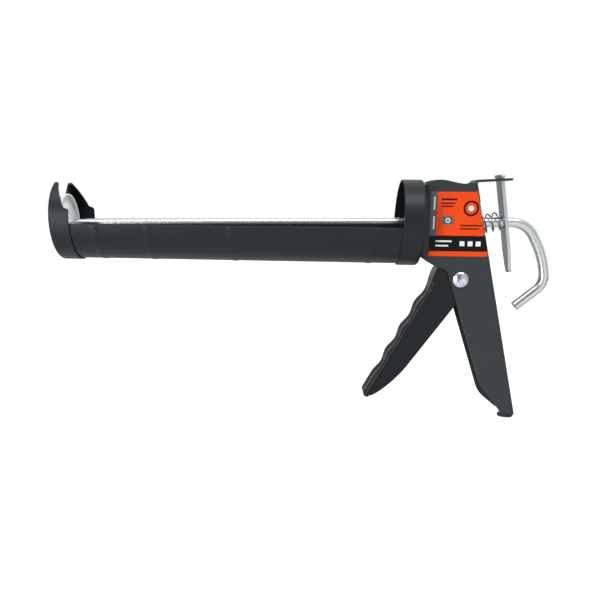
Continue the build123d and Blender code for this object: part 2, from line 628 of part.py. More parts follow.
# ---------------------------------------------------------------- drive
def drive_plate_rear():
    """Station of the drive plates' rear face along the rod; the arm noses push it."""
    nose_x, nose_z = arm_point(ARM_LENGTH)
    droop = math.radians(ROD_DROOP)
    along = (nose_x - FRAME_FRONT) * math.cos(droop) + (nose_z - ROD_RISE) * math.sin(droop)
    return FRAME_FRONT + along - ARM_NOSE_RADIUS - CONTACT_GAP


def make_plate(rear):
    """One drive plate, square to the rod, with its rear face at a station along it."""
    height = DRIVE_PLATE_TOP - DRIVE_PLATE_BOTTOM
    face = RectangleRounded(DRIVE_PLATE_WIDTH, height, DRIVE_PLATE_CORNER)
    middle = (DRIVE_PLATE_TOP + DRIVE_PLATE_BOTTOM) / 2
    plate = extrude(Plane.YZ * Pos(0, middle) * face, amount=-DRIVE_PLATE_THICKNESS)
    return ROD_PLACE * Pos(rear, 0, 0) * plate - rod_bore(rear - DRIVE_PLATE_THICKNESS, rear)


def coil(wire_radius, coil_radius, length, turns):
    """Round wire coil along +X, with its wire's centre line starting at X = 0."""
    path = Helix(length / turns, length, coil_radius)
    start = Plane(origin=path @ 0, z_dir=path % 0)
    wire = sweep(start * Circle(wire_radius), path=path, is_frenet=True)
    return Rot(0, 90, 0) * wire


def make_spring_washer():
    """Washer that seats the return spring on the frame's front wall."""
    start = FRAME_FRONT + FRAME_SHEET
    end = start + SPRING_WASHER_THICKNESS
    return x_disc(SPRING_WASHER_RADIUS, start, end, z=rod_z(start)) - rod_bore(start, end)


def make_return_spring():
    """Coil from the spring washer to the front drive plate."""
    skew = RETURN_COIL_RADIUS * ROD_SLOPE
    start = FRAME_FRONT + FRAME_SHEET + SPRING_WASHER_THICKNESS + RETURN_WIRE_RADIUS + skew
    end = drive_plate_rear() - 2 * DRIVE_PLATE_THICKNESS - RETURN_WIRE_RADIUS - CONTACT_GAP
    wire = coil(RETURN_WIRE_RADIUS, RETURN_COIL_RADIUS, end - start, RETURN_TURNS)
    return ROD_PLACE * Pos(start, 0, 0) * wire


# ---------------------------------------------------------------- release lever
def lever_face_x(z):
    """X of the lever's front face at a height, at rest."""
    lean = math.radians(LEVER_LEAN)
    middle = LEVER_PIVOT_X + (LEVER_PIVOT_Z - z) * math.tan(lean)
    return middle - LEVER_THICKNESS / 2 / math.cos(lean)


def rod_down_lever(lean):
    """Distance down the lever from its pivot to the rod's axis, at a lean in degrees."""
    angle = math.radians(lean)
    drop = LEVER_PIVOT_Z - rod_z(LEVER_PIVOT_X)
    return drop / (math.cos(angle) + ROD_SLOPE * math.sin(angle))


def make_release_lever():
    """T-headed strip with an oval hole for the rod, leaning back at its lower end."""
    half = LEVER_WIDTH / 2
    head = half + LEVER_HEAD_OVERHANG
    foot = LEVER_END_WIDTH / 2
    head_z = FRAME_SHEET / 2 + LEVER_HEAD_GAP
    top = head_z + LEVER_HEAD_HEIGHT
    taper_z = LEVER_TAPER - LEVER_LENGTH
    points = [(head, head_z), (head, top), (-head, top), (-head, head_z), (-half, head_z),
              (-half, taper_z), (-foot, -LEVER_LENGTH), (foot, -LEVER_LENGTH),
              (half, taper_z), (half, head_z)]
    outline = rounded(
        points,
        [CUT_EDGE, LEVER_HEAD_CORNER, LEVER_HEAD_CORNER, CUT_EDGE, 0, LEVER_SIDE_RADIUS,
         LEVER_END_CORNER, LEVER_END_CORNER, LEVER_SIDE_RADIUS, 0])
    strip = extrude(Plane.YZ * make_face(outline), amount=LEVER_THICKNESS / 2, both=True)
    pressed = rod_down_lever(LEVER_LEAN - LEVER_TRAVEL)
    at_rest = rod_down_lever(LEVER_LEAN)
    lean = math.radians(LEVER_LEAN + ROD_DROOP)
    reach = (ROD_RADIUS / math.cos(lean) + LEVER_THICKNESS / 2 * math.tan(lean)
             + LEVER_HOLE_CLEARANCE)
    width = 2 * (ROD_RADIUS + LEVER_HOLE_CLEARANCE)
    hole = Rot(0, 0, 90) * SlotOverall(2 * reach + at_rest - pressed, width)
    hole = Plane.YZ * Pos(0, -(pressed + at_rest) / 2) * hole
    strip -= extrude(hole, amount=LEVER_THICKNESS, both=True)
    return Pos(LEVER_PIVOT_X, 0, LEVER_PIVOT_Z) * Rot(0, -LEVER_LEAN, 0) * strip


def make_release_spring():
    """Coil between the spine and the lever, square to the mean of the two leans."""
    tilt = (SPINE_LEAN + LEVER_LEAN) / 2
    height = rod_z((spine_x(0) + lever_face_x(0)) / 2)
    gap = lever_face_x(height) - spine_x(height)
    middle = (lever_face_x(height) + spine_x(height)) / 2
    fan = math.tan(math.radians(abs(SPINE_LEAN - LEVER_LEAN) / 2)) * RELEASE_COIL_RADIUS
    length = (gap * math.cos(math.radians(tilt)) - 2 * RELEASE_WIRE_RADIUS
              - 2 * fan - RELEASE_END_GAP)
    wire = coil(RELEASE_WIRE_RADIUS, RELEASE_COIL_RADIUS, length, length / RELEASE_PITCH)
    place = Pos(middle, 0, height) * Rot(0, -tilt, 0) * Pos(-length / 2, 0, 0)
    return place * Rot(RELEASE_START, 0, 0) * wire


# ---------------------------------------------------------------- rod and plunger
def plunger_hub_face():
    """X of the plunger hub's front face."""
    return PLUNGER_FACE + PLUNGER_HUB_SETBACK


def rod_shoulder():
    """X of the rod's shoulder, behind the hub and its washer."""
    return plunger_hub_face() + PLUNGER_SHEET + PLUNGER_WASHER_THICKNESS


def rod_end():
    """Turned front end of the rod: head, spigot, neck and taper."""
    hub = plunger_hub_face()
    shoulder = rod_shoulder()
    neck_end = shoulder + ROD_NECK_LENGTH
    full = neck_end + ROD_TAPER_LENGTH
    inside = full + CUT_OVER
    head = hub - ROD_HEAD_THICKNESS
    outline = Polyline(
        (head, 0), (head, ROD_HEAD_RADIUS - ROD_HEAD_CHAMFER),
        (head + ROD_HEAD_CHAMFER, ROD_HEAD_RADIUS), (hub, ROD_HEAD_RADIUS),
        (hub, SPIGOT_RADIUS), (shoulder, SPIGOT_RADIUS), (shoulder, ROD_NECK_RADIUS),
        (neck_end, ROD_NECK_RADIUS), (full, ROD_RADIUS), (inside, ROD_RADIUS),
        (inside, 0), close=True)
    return turned(outline)


def make_toothed_rod():
    """Rod with saw teeth cut in its top and a hook bent down at its rear end."""
    start = rod_shoulder() + ROD_NECK_LENGTH + ROD_TAPER_LENGTH
    corner = Vector(LEVER_PIVOT_X + HOOK_START, 0)
    back = corner + Vector(HOOK_UPPER_RUN, -HOOK_UPPER_DROP)
    low = back + Vector(HOOK_BACK_RUN, -HOOK_BACK_DROP)
    free_end = low + Vector(HOOK_END_RUN, -HOOK_END_DROP)
    line = FilletPolyline(
        (start, 0), corner, back, low, free_end,
        radius=[HOOK_UPPER_RADIUS, HOOK_BACK_RADIUS, HOOK_LOWER_RADIUS])
    profile = Plane(origin=(start, 0, 0), z_dir=(1, 0, 0)) * Circle(ROD_RADIUS)
    rod = sweep(profile, path=Plane.XZ * line) + rod_end()
    root = ROD_RADIUS - TOOTH_DEPTH
    over = ROD_RADIUS + CUT_OVER
    tooth_count = 1 + int((FRAME_FRONT + TOOTH_REACH - TOOTH_START) / TOOTH_PITCH)
    notches = []
    for i in range(tooth_count):
        x = TOOTH_START + i * TOOTH_PITCH
        notch = Polyline((x, over), (x, root), (x + TOOTH_FLAT, root),
                         (x + TOOTH_LENGTH, over), close=True)
        notches.append(slab(notch, 2 * ROD_RADIUS))
    return ROD_PLACE * (rod - notches)


def make_plunger_plate():
    """Dished plate: hub set back, flat ring in front and a rim turned back."""
    face = PLUNGER_FACE
    hub = plunger_hub_face()
    sheet = PLUNGER_SHEET
    bore = SPIGOT_RADIUS + RIVET_CLEARANCE
    rim = face + PLUNGER_RIM_DEPTH
    dish = PLUNGER_DISH_RADIUS
    section = rounded(
        [(hub, bore), (hub, PLUNGER_HUB_RADIUS), (face, PLUNGER_FACE_RADIUS),
         (face, PLUNGER_RADIUS), (rim, PLUNGER_RADIUS), (rim, PLUNGER_RADIUS - sheet),
         (face + sheet, PLUNGER_RADIUS - sheet),
         (face + sheet, PLUNGER_FACE_RADIUS + PLUNGER_STEP_SHIFT),
         (hub + sheet, PLUNGER_HUB_RADIUS + PLUNGER_STEP_SHIFT), (hub + sheet, bore)],
        [0, dish, dish, PLUNGER_RIM_RADIUS, CUT_EDGE, CUT_EDGE, PLUNGER_RIM_RADIUS - sheet,
         dish, dish, 0])
    return ROD_PLACE * turned(section)


def make_plunger_washer():
    """Washer between the plunger's hub and the rod's shoulder."""
    start = plunger_hub_face() + PLUNGER_SHEET
    end = start + PLUNGER_WASHER_THICKNESS
    ring = x_disc(PLUNGER_WASHER_RADIUS, start, end)
    hole = x_disc(SPIGOT_RADIUS + RIVET_CLEARANCE, start - CUT_OVER, end + CUT_OVER)
    return ROD_PLACE * (ring - hole)


def main():
    """Build every piece and write one STEP file for each."""
    rear = drive_plate_rear()
    pieces = {
        "front_cap": make_front_cap(),
        "barrel_trough": make_barrel_trough(),
        "rear_collar": make_rear_collar(),
        "collar_rivets": make_collar_rivets(),
        "handle_frame": make_handle_frame(),
        "label": make_label(),
        "trigger": make_trigger(),
        "pivot_rivet": make_pivot_rivet(),
        "rivet_washer": make_rivet_washer(),
        "drive_plate": make_plate(rear),
        "drive_plate_backer": make_plate(rear - DRIVE_PLATE_THICKNESS),
        "spring_washer": make_spring_washer(),
        "return_spring": make_return_spring(),
        "release_lever": make_release_lever(),
        "release_spring": make_release_spring(),
        "toothed_rod": make_toothed_rod(),
        "plunger_plate": make_plunger_plate(),
        "plunger_washer": make_plunger_washer(),
    }
    os.makedirs("parts", exist_ok=True)
    for name, piece in pieces.items():
        export_step(piece, f"parts/{name}.step")
        size = piece.bounding_box().size
        print(f"{name}: {size.X:.1f} x {size.Y:.1f} x {size.Z:.1f}, {piece.volume:.0f} mm3")


main()
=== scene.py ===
"""Looks of a caulking gun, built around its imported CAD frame.

Everything is in metres in the part's own frame: +X runs from the nozzle opening to the
hook, +Z is up, and the barrel's axis is the X axis.
"""
import math

import bmesh
import bpy
import numpy as np
from mathutils import Matrix, Vector


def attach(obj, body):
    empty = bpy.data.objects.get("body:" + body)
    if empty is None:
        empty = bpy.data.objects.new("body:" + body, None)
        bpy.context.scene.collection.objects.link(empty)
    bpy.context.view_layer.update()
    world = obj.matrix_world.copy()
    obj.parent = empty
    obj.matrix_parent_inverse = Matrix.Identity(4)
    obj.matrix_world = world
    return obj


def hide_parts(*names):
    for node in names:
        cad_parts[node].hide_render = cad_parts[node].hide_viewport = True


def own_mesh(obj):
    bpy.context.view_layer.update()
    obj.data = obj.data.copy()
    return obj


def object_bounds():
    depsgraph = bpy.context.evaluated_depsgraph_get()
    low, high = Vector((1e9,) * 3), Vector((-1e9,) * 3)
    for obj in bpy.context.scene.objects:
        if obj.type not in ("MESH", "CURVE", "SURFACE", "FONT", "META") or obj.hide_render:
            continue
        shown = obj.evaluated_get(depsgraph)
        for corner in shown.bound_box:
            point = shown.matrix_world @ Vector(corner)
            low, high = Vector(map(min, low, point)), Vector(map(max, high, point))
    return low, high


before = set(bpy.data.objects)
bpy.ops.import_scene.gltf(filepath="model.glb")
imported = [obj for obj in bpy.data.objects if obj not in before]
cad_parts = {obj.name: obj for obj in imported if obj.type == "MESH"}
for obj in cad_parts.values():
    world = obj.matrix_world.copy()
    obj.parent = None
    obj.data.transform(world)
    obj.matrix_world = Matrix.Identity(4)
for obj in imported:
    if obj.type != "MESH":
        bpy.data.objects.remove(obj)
cad_low, cad_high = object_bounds()

MM = 0.001

# Camera: its place, the way it looks and its lens
CAMERA_PLACE = (0.171926, -0.441412, 0.017124)
CAMERA_TURN = 6.2523         # degrees to the left of +Y
CAMERA_DOWN = 15.9599
CAMERA_ROLL = 0.4488
CAMERA_LENS = 38.649
CAMERA_SHIFT = (0.1008, 0.1309)

# Studio
FLOOR_GAP = 0.22             # the object hangs this far above the floor
FLOOR_HALF = 6.0
FLOOR_FRONT = -0.9
FLOOR_BACK = 12.0
FLOOR_COLOUR = 0.62
FLOOR_GLOW = (0.75, 0.08)    # added for the camera, and for glossy and transmission rays
ROOM_FRONT = (0.14, 0.60)    # in front, to the left and to the right
ROOM_BACK = 0.95
ROOM_LEFT = 0.36             # behind, far to the left

# Specular levels
COAT_SPECULAR = 0.28
FILM_SPECULAR = 0.16

# The part's sizes, in millimetres and degrees
SHEET = 1.0                  # sheet of the barrel's pressings
TROUGH_INNER = 25.0
TROUGH_RIM = -2.2            # height of its two rims
TROUGH_START = 1.0
TROUGH_END = 239.6
TROUGH_BEADS = (30.5, 65.5, 120.5, 209.0)
BEAD_HALF = 3.5
BEAD_HEIGHT = 0.35
# Dents: station, angle in radians round from the bottom, half length, half spread, depth
TROUGH_DENTS = ((65.5, -1.2, 9.0, 0.35, 0.25), (150.0, -1.0, 30.0, 0.5, 0.10),
                (208.0, -1.35, 4.0, 0.25, 0.20))
FRAME_FRONT = 240.6
ROD_RADIUS = 3.25
ROD_DROOP = 0.81             # the rod hangs this far down towards its plunger
ROD_RISE = 0.33              # height of its axis at the frame's front
HUB_FACE = 3.2               # front of the plunger's hub
ROD_HEAD_RADIUS = 4.0
ROD_HEAD_THICKNESS = 1.2
ROD_HEAD_CHAMFER = 0.6
SPIGOT_RADIUS = 2.5
ROD_SHOULDER = 5.4
NECK_RADIUS = 2.9
NECK_LENGTH = 6.2
TAPER_LENGTH = 6.0
UNCUT = 9.0                  # a height above every ring, where nothing is cut off its top
CUT_OVER = 1.0
TOOTH_PITCH = 4.463
TOOTH_START = 24.3
TOOTH_COUNT = 54
TOOTH_DEPTH = 1.0
TOOTH_LENGTH = 2.2
TOOTH_FLAT = 0.4
# Corners of the hook's line along the rod and up, and the radii of its three bends
HOOK_LINE = ((264.0, 0.0), (307.7, 0.0), (320.1, -22.3), (322.7, -39.0), (305.4, -54.3))
HOOK_RADII = (16.5, 56.0, 11.0)
HOOK_CHAMFER = (0.35, 0.4)   # length and depth, round the hook's cut end
ROD_SIDES = 64
# Corners of the plunger's section, along its axis and out, and the radii of all but the first
PLUNGER_SECTION = ((3.2, 2.55), (3.2, 11.0), (1.6, 13.5), (1.6, 19.6), (5.4, 19.6), (5.4, 18.4),
                   (2.8, 18.4), (2.8, 14.0), (4.4, 11.5), (4.4, 2.55))
PLUNGER_RADII = (0.8, 0.8, 1.8, 0.3, 0.3, 0.6, 0.8, 0.8, 0.05)
PLUNGER_RIPPLE = 0.004       # share of its radius
FRAME_DEPTH = 31.9
FRAME_TOP = 25.9
FRAME_HALF = 9.4
SPINE_LEAN = 14.92
BEND_RADIUS = 2.6            # of the side plate's bend into the spine
LABEL_TOP = 19.7
LABEL_BOTTOM = -20.1
LABEL_MARGIN = 4.2           # frame's front to the film's upper front corner
LABEL_SKEW = 1.7             # its lower front corner is this much further back
LABEL_LIFT = 0.15
LABEL_EDGE = 0.005           # the film's edge stands this far off the sheet
LABEL_WRAP = 48.0            # degrees that the film runs round the spine's bend
TRIGGER_HALF = 7.5
TRIGGER_BEND = 1.8           # radius of its near bend
TRIGGER_FAR_BEND = 0.9
BEND_SETBACK = 1.1           # of the near bend, near the crests of the wave
SETBACK_SHARES = (0.45, 0.6)  # share of it at the wave's middle, and what a crest adds
WEB_HOLLOW = 0.9
WEB_FADE = 9.0               # the hollow fades out over this length at each end
SKIN_LIFT = 0.03
SKIN_STEP = 0.5
SKIN_LEG = 0.6               # the skin runs this far down the sides, past its bends
SKIN_COVER = 0.7             # it covers the CAD web's points that are no deeper than this
SKIN_TUCK = 0.08             # the CAD mesh's corners go this far under it
WEB_POINT = np.array([250.1, -38.3])  # X and Z on the wave's middle line
WEB_LEAN = 26.9              # that line leans forward from the vertical, downwards
WEB_TOP = -16.0              # its ends, measured down from the point
WEB_LENGTH = 84.9
WEB_WAVE = 0.85              # height of a crest
TIP_RADIUS = 3.0
TIP_TURN = 60.0              # the rear edge leaves the tip this far below its centre's level
CLOSED_PITCH = 0.35          # pitch of a coil's very end, as a share of the pitch between
RETURN_START = 243.766       # ends of the return spring's centre line
RETURN_END = 265.583
RETURN_TURNS = 6.0
RETURN_RADIUS = 4.7
RETURN_WIRE = 0.6
RELEASE_PLACE = (285.869, 0.963)  # X and Z of the release spring's middle
RELEASE_LENGTH = 11.457
RELEASE_TURNS = 2.728
RELEASE_RADIUS = 5.6
RELEASE_WIRE = 0.45
RELEASE_TILT = 13.21         # its axis rises this much towards the lever
RELEASE_START_TURN = 205.0


# ---------------------------------------------------------------- shader helpers
def new_node(tree, kind, **values):
    """Adds a node with its inputs as name=value, or in0=value for the first input and so
    on, and its settings as set_name=value. A value is a constant or another node's socket."""
    node = tree.nodes.new(kind)
    for name, value in values.items():
        if name.startswith("set_"):
            setattr(node, name[4:], value)
            continue
        key = name.replace("_", " ")
        socket = node.inputs[int(key[2:])] if key.startswith("in") and key[2:].isdigit() \
            else node.inputs[key]
        if isinstance(value, bpy.types.NodeSocket):
            tree.links.new(value, socket)
        else:
            socket.default_value = value
    return node


def maths(tree, operation, first, second=0.0, third=0.0):
    """Output of a Math node."""
    return new_node(tree, "ShaderNodeMath", in0=first, in1=second, in2=third,
                    set_operation=operation).outputs[0]


def blend_colours(tree, share, first, second):
    """Output of a colour mix."""
    return new_node(tree, "ShaderNodeMix", set_data_type="RGBA", in0=share, in6=first,
                    in7=second).outputs[2]


def new_group(name, inputs, outputs):
    """Empty shader node group with its named sockets; returns the tree and its two ends."""
    tree = bpy.data.node_groups.new(name, "ShaderNodeTree")
    for label, kind, value in inputs:
        socket = tree.interface.new_socket(label, in_out="INPUT", socket_type=kind)
        if value is not None:
            socket.default_value = value
    for label, kind in outputs:
        tree.interface.new_socket(label, in_out="OUTPUT", socket_type=kind)
    source = tree.nodes.new("NodeGroupInput").outputs
    sink = tree.nodes.new("NodeGroupOutput").inputs
    return tree, source, sink


def place_group(tree, group, **values):
    """Puts a node group in a material with its own values."""
    return new_node(tree, "ShaderNodeGroup", set_node_tree=group, **values)


FLOAT = "NodeSocketFloat"
VECTOR = "NodeSocketVector"


def make_grain_group():
    """Fine grain and slow drift: two noises of a place, in metres, at two scales."""
    tree, source, sink = new_group(
        "surface_grain",
        [("Place", VECTOR, None), ("Stretch", VECTOR, (1.0, 1.0, 1.0)), ("Fine", FLOAT, 1400.0),
         ("Slow", FLOAT, 30.0)],
        [("Grain", FLOAT), ("Drift", FLOAT)])
    place = source["Place"]
    stretched = new_node(tree, "ShaderNodeVectorMath", set_operation="MULTIPLY",
                         in0=place, in1=source["Stretch"]).outputs[0]
    fine = new_node(tree, "ShaderNodeTexNoise", Vector=stretched, Scale=source["Fine"],
                    Detail=2.0, Roughness=0.55)
    slow = new_node(tree, "ShaderNodeTexNoise", Vector=place, Scale=source["Slow"],
                    Detail=3.0, Roughness=0.5)
    tree.links.new(fine.outputs["Fac"], sink["Grain"])
    tree.links.new(slow.outputs["Fac"], sink["Drift"])
    return tree


def make_edge_highlight_group():
    """Painted edge highlight: how far a rounded edge's normal turns from the face's, broken up by
    noise.
    """
    tree, source, sink = new_group(
        "edge_wear",
        [("Radius", FLOAT, 0.0004), ("Break Up", FLOAT, 0.5)],
        [("Highlight", FLOAT)])
    face = new_node(tree, "ShaderNodeNewGeometry").outputs["Normal"]
    soft = new_node(tree, "ShaderNodeBevel", Radius=source["Radius"]).outputs["Normal"]
    alike = new_node(tree, "ShaderNodeVectorMath", set_operation="DOT_PRODUCT", in0=face, in1=soft)
    edge = new_node(tree, "ShaderNodeMapRange", Value=alike.outputs["Value"], From_Min=0.98,
                    From_Max=0.80).outputs["Result"]
    place = new_node(tree, "ShaderNodeTexCoord").outputs["Object"]
    noise = new_node(tree, "ShaderNodeTexNoise", Vector=place, Scale=260.0, Detail=4.0)
    broken = new_node(tree, "ShaderNodeMapRange", Value=noise.outputs["Fac"], From_Min=0.42,
                      From_Max=0.62).outputs["Result"]
    kept = maths(tree, "MULTIPLY", edge, broken)
    mixed = new_node(tree, "ShaderNodeMix", in0=source["Break Up"], in2=edge, in3=kept)
    tree.links.new(mixed.outputs[0], sink["Highlight"])
    return tree


GRAIN = make_grain_group()
EDGE_HIGHLIGHT_GROUP = make_edge_highlight_group()


def new_material(name):
    """Material with a plain Principled shader; returns it with its tree and its shader."""
    material = bpy.data.materials.new(name)
    material.use_nodes = True
    tree = material.node_tree
    return material, tree, tree.nodes["Principled BSDF"]


def link(tree, output, shader, name):
    """Links an output to a named input of a shader."""
    tree.links.new(output, shader.inputs[name])


def bump(tree, height, strength, distance):
    """Normal from a height."""
    node = new_node(tree, "ShaderNodeBump", Height=height, Strength=strength, Distance=distance)
    return node.outputs["Normal"]


def powder_coat(name, colour, roughness):
    """Satin powder coat: orange-peel bump, slow colour drift, and rounded edges painted paler as a
    highlight.
    """
    material, tree, shader = new_material(name)
    place = new_node(tree, "ShaderNodeTexCoord").outputs["Object"]
    grain = place_group(tree, GRAIN, Place=place, Fine=900.0, Slow=22.0)
    highlight_colour = tuple(1.8 * c for c in colour) + (1.0,)
    dark = tuple(0.90 * c for c in colour) + (1.0,)
    base = blend_colours(tree, grain.outputs["Drift"], dark, tuple(colour) + (1.0,))
    # Painted highlight: rounded edges take a colour 1.8 times the coat's, broken up by noise.
    wear = place_group(tree, EDGE_HIGHLIGHT_GROUP, Radius=0.4 * MM, Break_Up=0.6)
    base = blend_colours(tree, wear.outputs["Highlight"], base, highlight_colour)
    link(tree, base, shader, "Base Color")
    rough = new_node(tree, "ShaderNodeMapRange", Value=grain.outputs["Drift"],
                     To_Min=roughness - 0.03, To_Max=roughness + 0.03)
    link(tree, rough.outputs["Result"], shader, "Roughness")
    shader.inputs["Specular IOR Level"].default_value = COAT_SPECULAR
    link(tree, bump(tree, grain.outputs["Grain"], 0.10, 0.0001), shader, "Normal")
    return material


def plated_steel(name, face, roughness, stretch, scratch, edge=None, metal=1.0,
                 place="Object", mottle=0.0):
    """Plated steel: drawn lines and a faint drift from blue to straw.

    The drift's two ends are darker and paler than the face by the mottle. Where an edge
    colour is given, the surfaces that face sideways, along the part's Y, have it: they are
    the sheet's sheared edges.
    """
    material, tree, shader = new_material(name)
    where = new_node(tree, "ShaderNodeTexCoord").outputs[place]
    grain = place_group(tree, GRAIN, Place=where, Stretch=stretch, Fine=1600.0, Slow=60.0)
    cool = tuple(c * k * (1 - mottle) for c, k in zip(face, (0.94, 0.98, 1.03))) + (1.0,)
    warm = tuple(c * k * (1 + mottle) for c, k in zip(face, (1.03, 1.0, 0.95))) + (1.0,)
    base = blend_colours(tree, grain.outputs["Drift"], cool, warm)
    if edge:
        normal = new_node(tree, "ShaderNodeTexCoord").outputs["Normal"]
        sideways = new_node(tree, "ShaderNodeSeparateXYZ", Vector=normal).outputs["Y"]
        sheared = new_node(tree, "ShaderNodeMapRange", From_Min=0.5, From_Max=0.9,
                           Value=maths(tree, "ABSOLUTE", sideways)).outputs["Result"]
        base = blend_colours(tree, sheared, base, edge + (1.0,))
    link(tree, base, shader, "Base Color")
    spread = 0.4 * scratch + 0.02
    rough = new_node(tree, "ShaderNodeMapRange", Value=grain.outputs["Grain"],
                     To_Min=roughness - spread, To_Max=roughness + spread)
    link(tree, rough.outputs["Result"], shader, "Roughness")
    shader.inputs["Metallic"].default_value = metal
    link(tree, bump(tree, grain.outputs["Grain"], scratch, 0.0001), shader, "Normal")
    return material


COAT = powder_coat("satin_black_coat", (0.0092, 0.0134, 0.0178), 0.42)
# Painted light: a lighter copy of the same black coat, for the handle frame. Its base colour is
# about three times the coat's, standing in for the light that falls on the handle's side.
COAT_PAINTED_LIGHTER = powder_coat("satin_black_coat_painted_lighter", (0.0290, 0.0352, 0.0385), 0.42)
# Painted shade: a darker copy of the same black coat, for the trigger. Its base colour is lowered
# to stand in for the shade on the trigger, and its roughness is 0.30.
COAT_PAINTED_DARKER = powder_coat("satin_black_coat_painted_darker", (0.0060, 0.0084, 0.0108), 0.30)
ZINC_ROD = plated_steel("zinc_drawn_rod", (0.68, 0.71, 0.72), 0.27, (1.0, 0.05, 1.0), 0.012,
                        place="UV")
# Painted shade: the notch faces get the rod's zinc made about three times darker, standing in for
# the shade inside the notches. Their higher roughness is the cut's own.
ZINC_NOTCH_PAINTED_SHADE = plated_steel("zinc_notch_painted_shade", (0.20, 0.215, 0.22), 0.45, (1.0, 1.0, 1.0), 0.06)
ZINC_SHEET = plated_steel("zinc_pressed_sheet", (0.27, 0.31, 0.34), 0.36, (1.0, 1.0, 0.2), 0.12,
                          edge=(0.60, 0.63, 0.65), mottle=0.45)
ZINC_DISH = plated_steel("zinc_drawn_dish", (0.90, 0.93, 0.93), 0.45, (1.0, 1.0, 1.0), 0.10,
                         metal=0.25)
WIRE = plated_steel("spring_wire", (0.26, 0.27, 0.28), 0.30, (1.0, 1.0, 1.0), 0.05)


def passivated_rivet(name):
    """Polished zinc with blue, violet and straw passivation patches from a slow noise."""
    material, tree, shader = new_material(name)
    place = new_node(tree, "ShaderNodeTexCoord").outputs["Object"]
    grain = place_group(tree, GRAIN, Place=place, Fine=2500.0, Slow=420.0)
    ramp = tree.nodes.new("ShaderNodeValToRGB")
    tree.links.new(grain.outputs["Drift"], ramp.inputs["Fac"])
    stops = ((0.36, (0.86, 0.86, 0.82)), (0.46, (0.60, 0.68, 0.82)), (0.54, (0.66, 0.56, 0.74)),
             (0.64, (0.84, 0.85, 0.87)))
    for index, (at, colour) in enumerate(stops):
        stop = ramp.color_ramp.elements[index] if index < 2 else ramp.color_ramp.elements.new(at)
        stop.position = at
        stop.color = colour + (1.0,)
    link(tree, ramp.outputs["Color"], shader, "Base Color")
    shader.inputs["Metallic"].default_value = 1.0
    rough = new_node(tree, "ShaderNodeMapRange", Value=grain.outputs["Grain"], To_Min=0.18,
                     To_Max=0.30)
    link(tree, rough.outputs["Result"], shader, "Roughness")
    link(tree, bump(tree, grain.outputs["Drift"], 0.25, 0.0004), shader, "Normal")
    return material


RIVET = passivated_rivet("passivated_rivet")


def make_bar_group():
    """Mask of an upright rectangle on the label: 1 within both half sizes of its middle."""
    tree, source, sink = new_group(
        "label_bar",
        [("Place", VECTOR, None), ("Across", FLOAT, 0.0), ("Down", FLOAT, 0.0),
         ("Half Width", FLOAT, 1.0), ("Half Height", FLOAT, 1.0)],
        [("Mask", FLOAT)])
    parts = new_node(tree, "ShaderNodeSeparateXYZ", Vector=source["Place"])
    masks = []
    for output, middle, half in (("X", "Across", "Half Width"), ("Y", "Down", "Half Height")):
        away = maths(tree, "SUBTRACT", parts.outputs[output], source[middle])
        masks.append(maths(tree, "LESS_THAN", maths(tree, "ABSOLUTE", away), source[half]))
    tree.links.new(maths(tree, "MULTIPLY", *masks), sink["Mask"])
    return tree


def make_ring_group():
    """Mask of a ring on the label: 1 between its inner and outer radius."""
    tree, source, sink = new_group(
        "label_ring",
        [("Place", VECTOR, None), ("Across", FLOAT, 0.0), ("Down", FLOAT, 0.0),
         ("Outer", FLOAT, 2.0), ("Inner", FLOAT, 1.0)],
        [("Mask", FLOAT)])
    parts = new_node(tree, "ShaderNodeSeparateXYZ", Vector=source["Place"])
    across = maths(tree, "SUBTRACT", parts.outputs["X"], source["Across"])
    down = maths(tree, "SUBTRACT", parts.outputs["Y"], source["Down"])
    squares = maths(tree, "MULTIPLY_ADD", across, across, maths(tree, "MULTIPLY", down, down))
    away = maths(tree, "SQRT", squares)
    inside = maths(tree, "LESS_THAN", away, source["Outer"])
    outside = maths(tree, "GREATER_THAN", away, source["Inner"])
    tree.links.new(maths(tree, "MULTIPLY", inside, outside), sink["Mask"])
    return tree


BAR = make_bar_group()
RING = make_ring_group()
ORANGE = (0.78, 0.066, 0.006)
INK = (0.004, 0.004, 0.005)
GREY = (0.10, 0.11, 0.115)
PAPER = (0.78, 0.78, 0.77)
# Bars: across, down, half width, half height in millimetres, and the ink
LABEL_BARS = (
    (20.0, 31.8, 30.0, 4.9, INK), (20.5, 31.8, 1.5, 1.5, PAPER), (25.5, 31.8, 1.5, 1.5, PAPER),
    (30.5, 31.8, 1.5, 1.5, PAPER), (9.0, 30.4, 5.0, 0.5, PAPER), (8.0, 33.2, 4.0, 0.5, PAPER),
    (2.0, 13.5, 2.2, 13.5, GREY), (2.4, 7.0, 0.45, 4.0, PAPER), (2.4, 19.0, 0.45, 4.0, PAPER),
    (11.5, 4.6, 4.8, 0.55, INK), (10.9, 7.0, 4.2, 0.40, INK), (10.4, 8.8, 3.7, 0.40, INK),
    (25.5, 20.6, 6.8, 0.40, INK), (24.6, 22.6, 5.9, 0.40, INK), (11.0, 17.5, 3.6, 2.6, GREY))
# Rings: across, down, outer and inner radius, below 0 for a disc, and the ink
LABEL_RINGS = ((25.0, 10.0, 4.8, 3.6, INK), (25.0, 10.0, 1.7, -1.0, PAPER),
               (11.0, 17.5, 1.5, 0.9, PAPER))


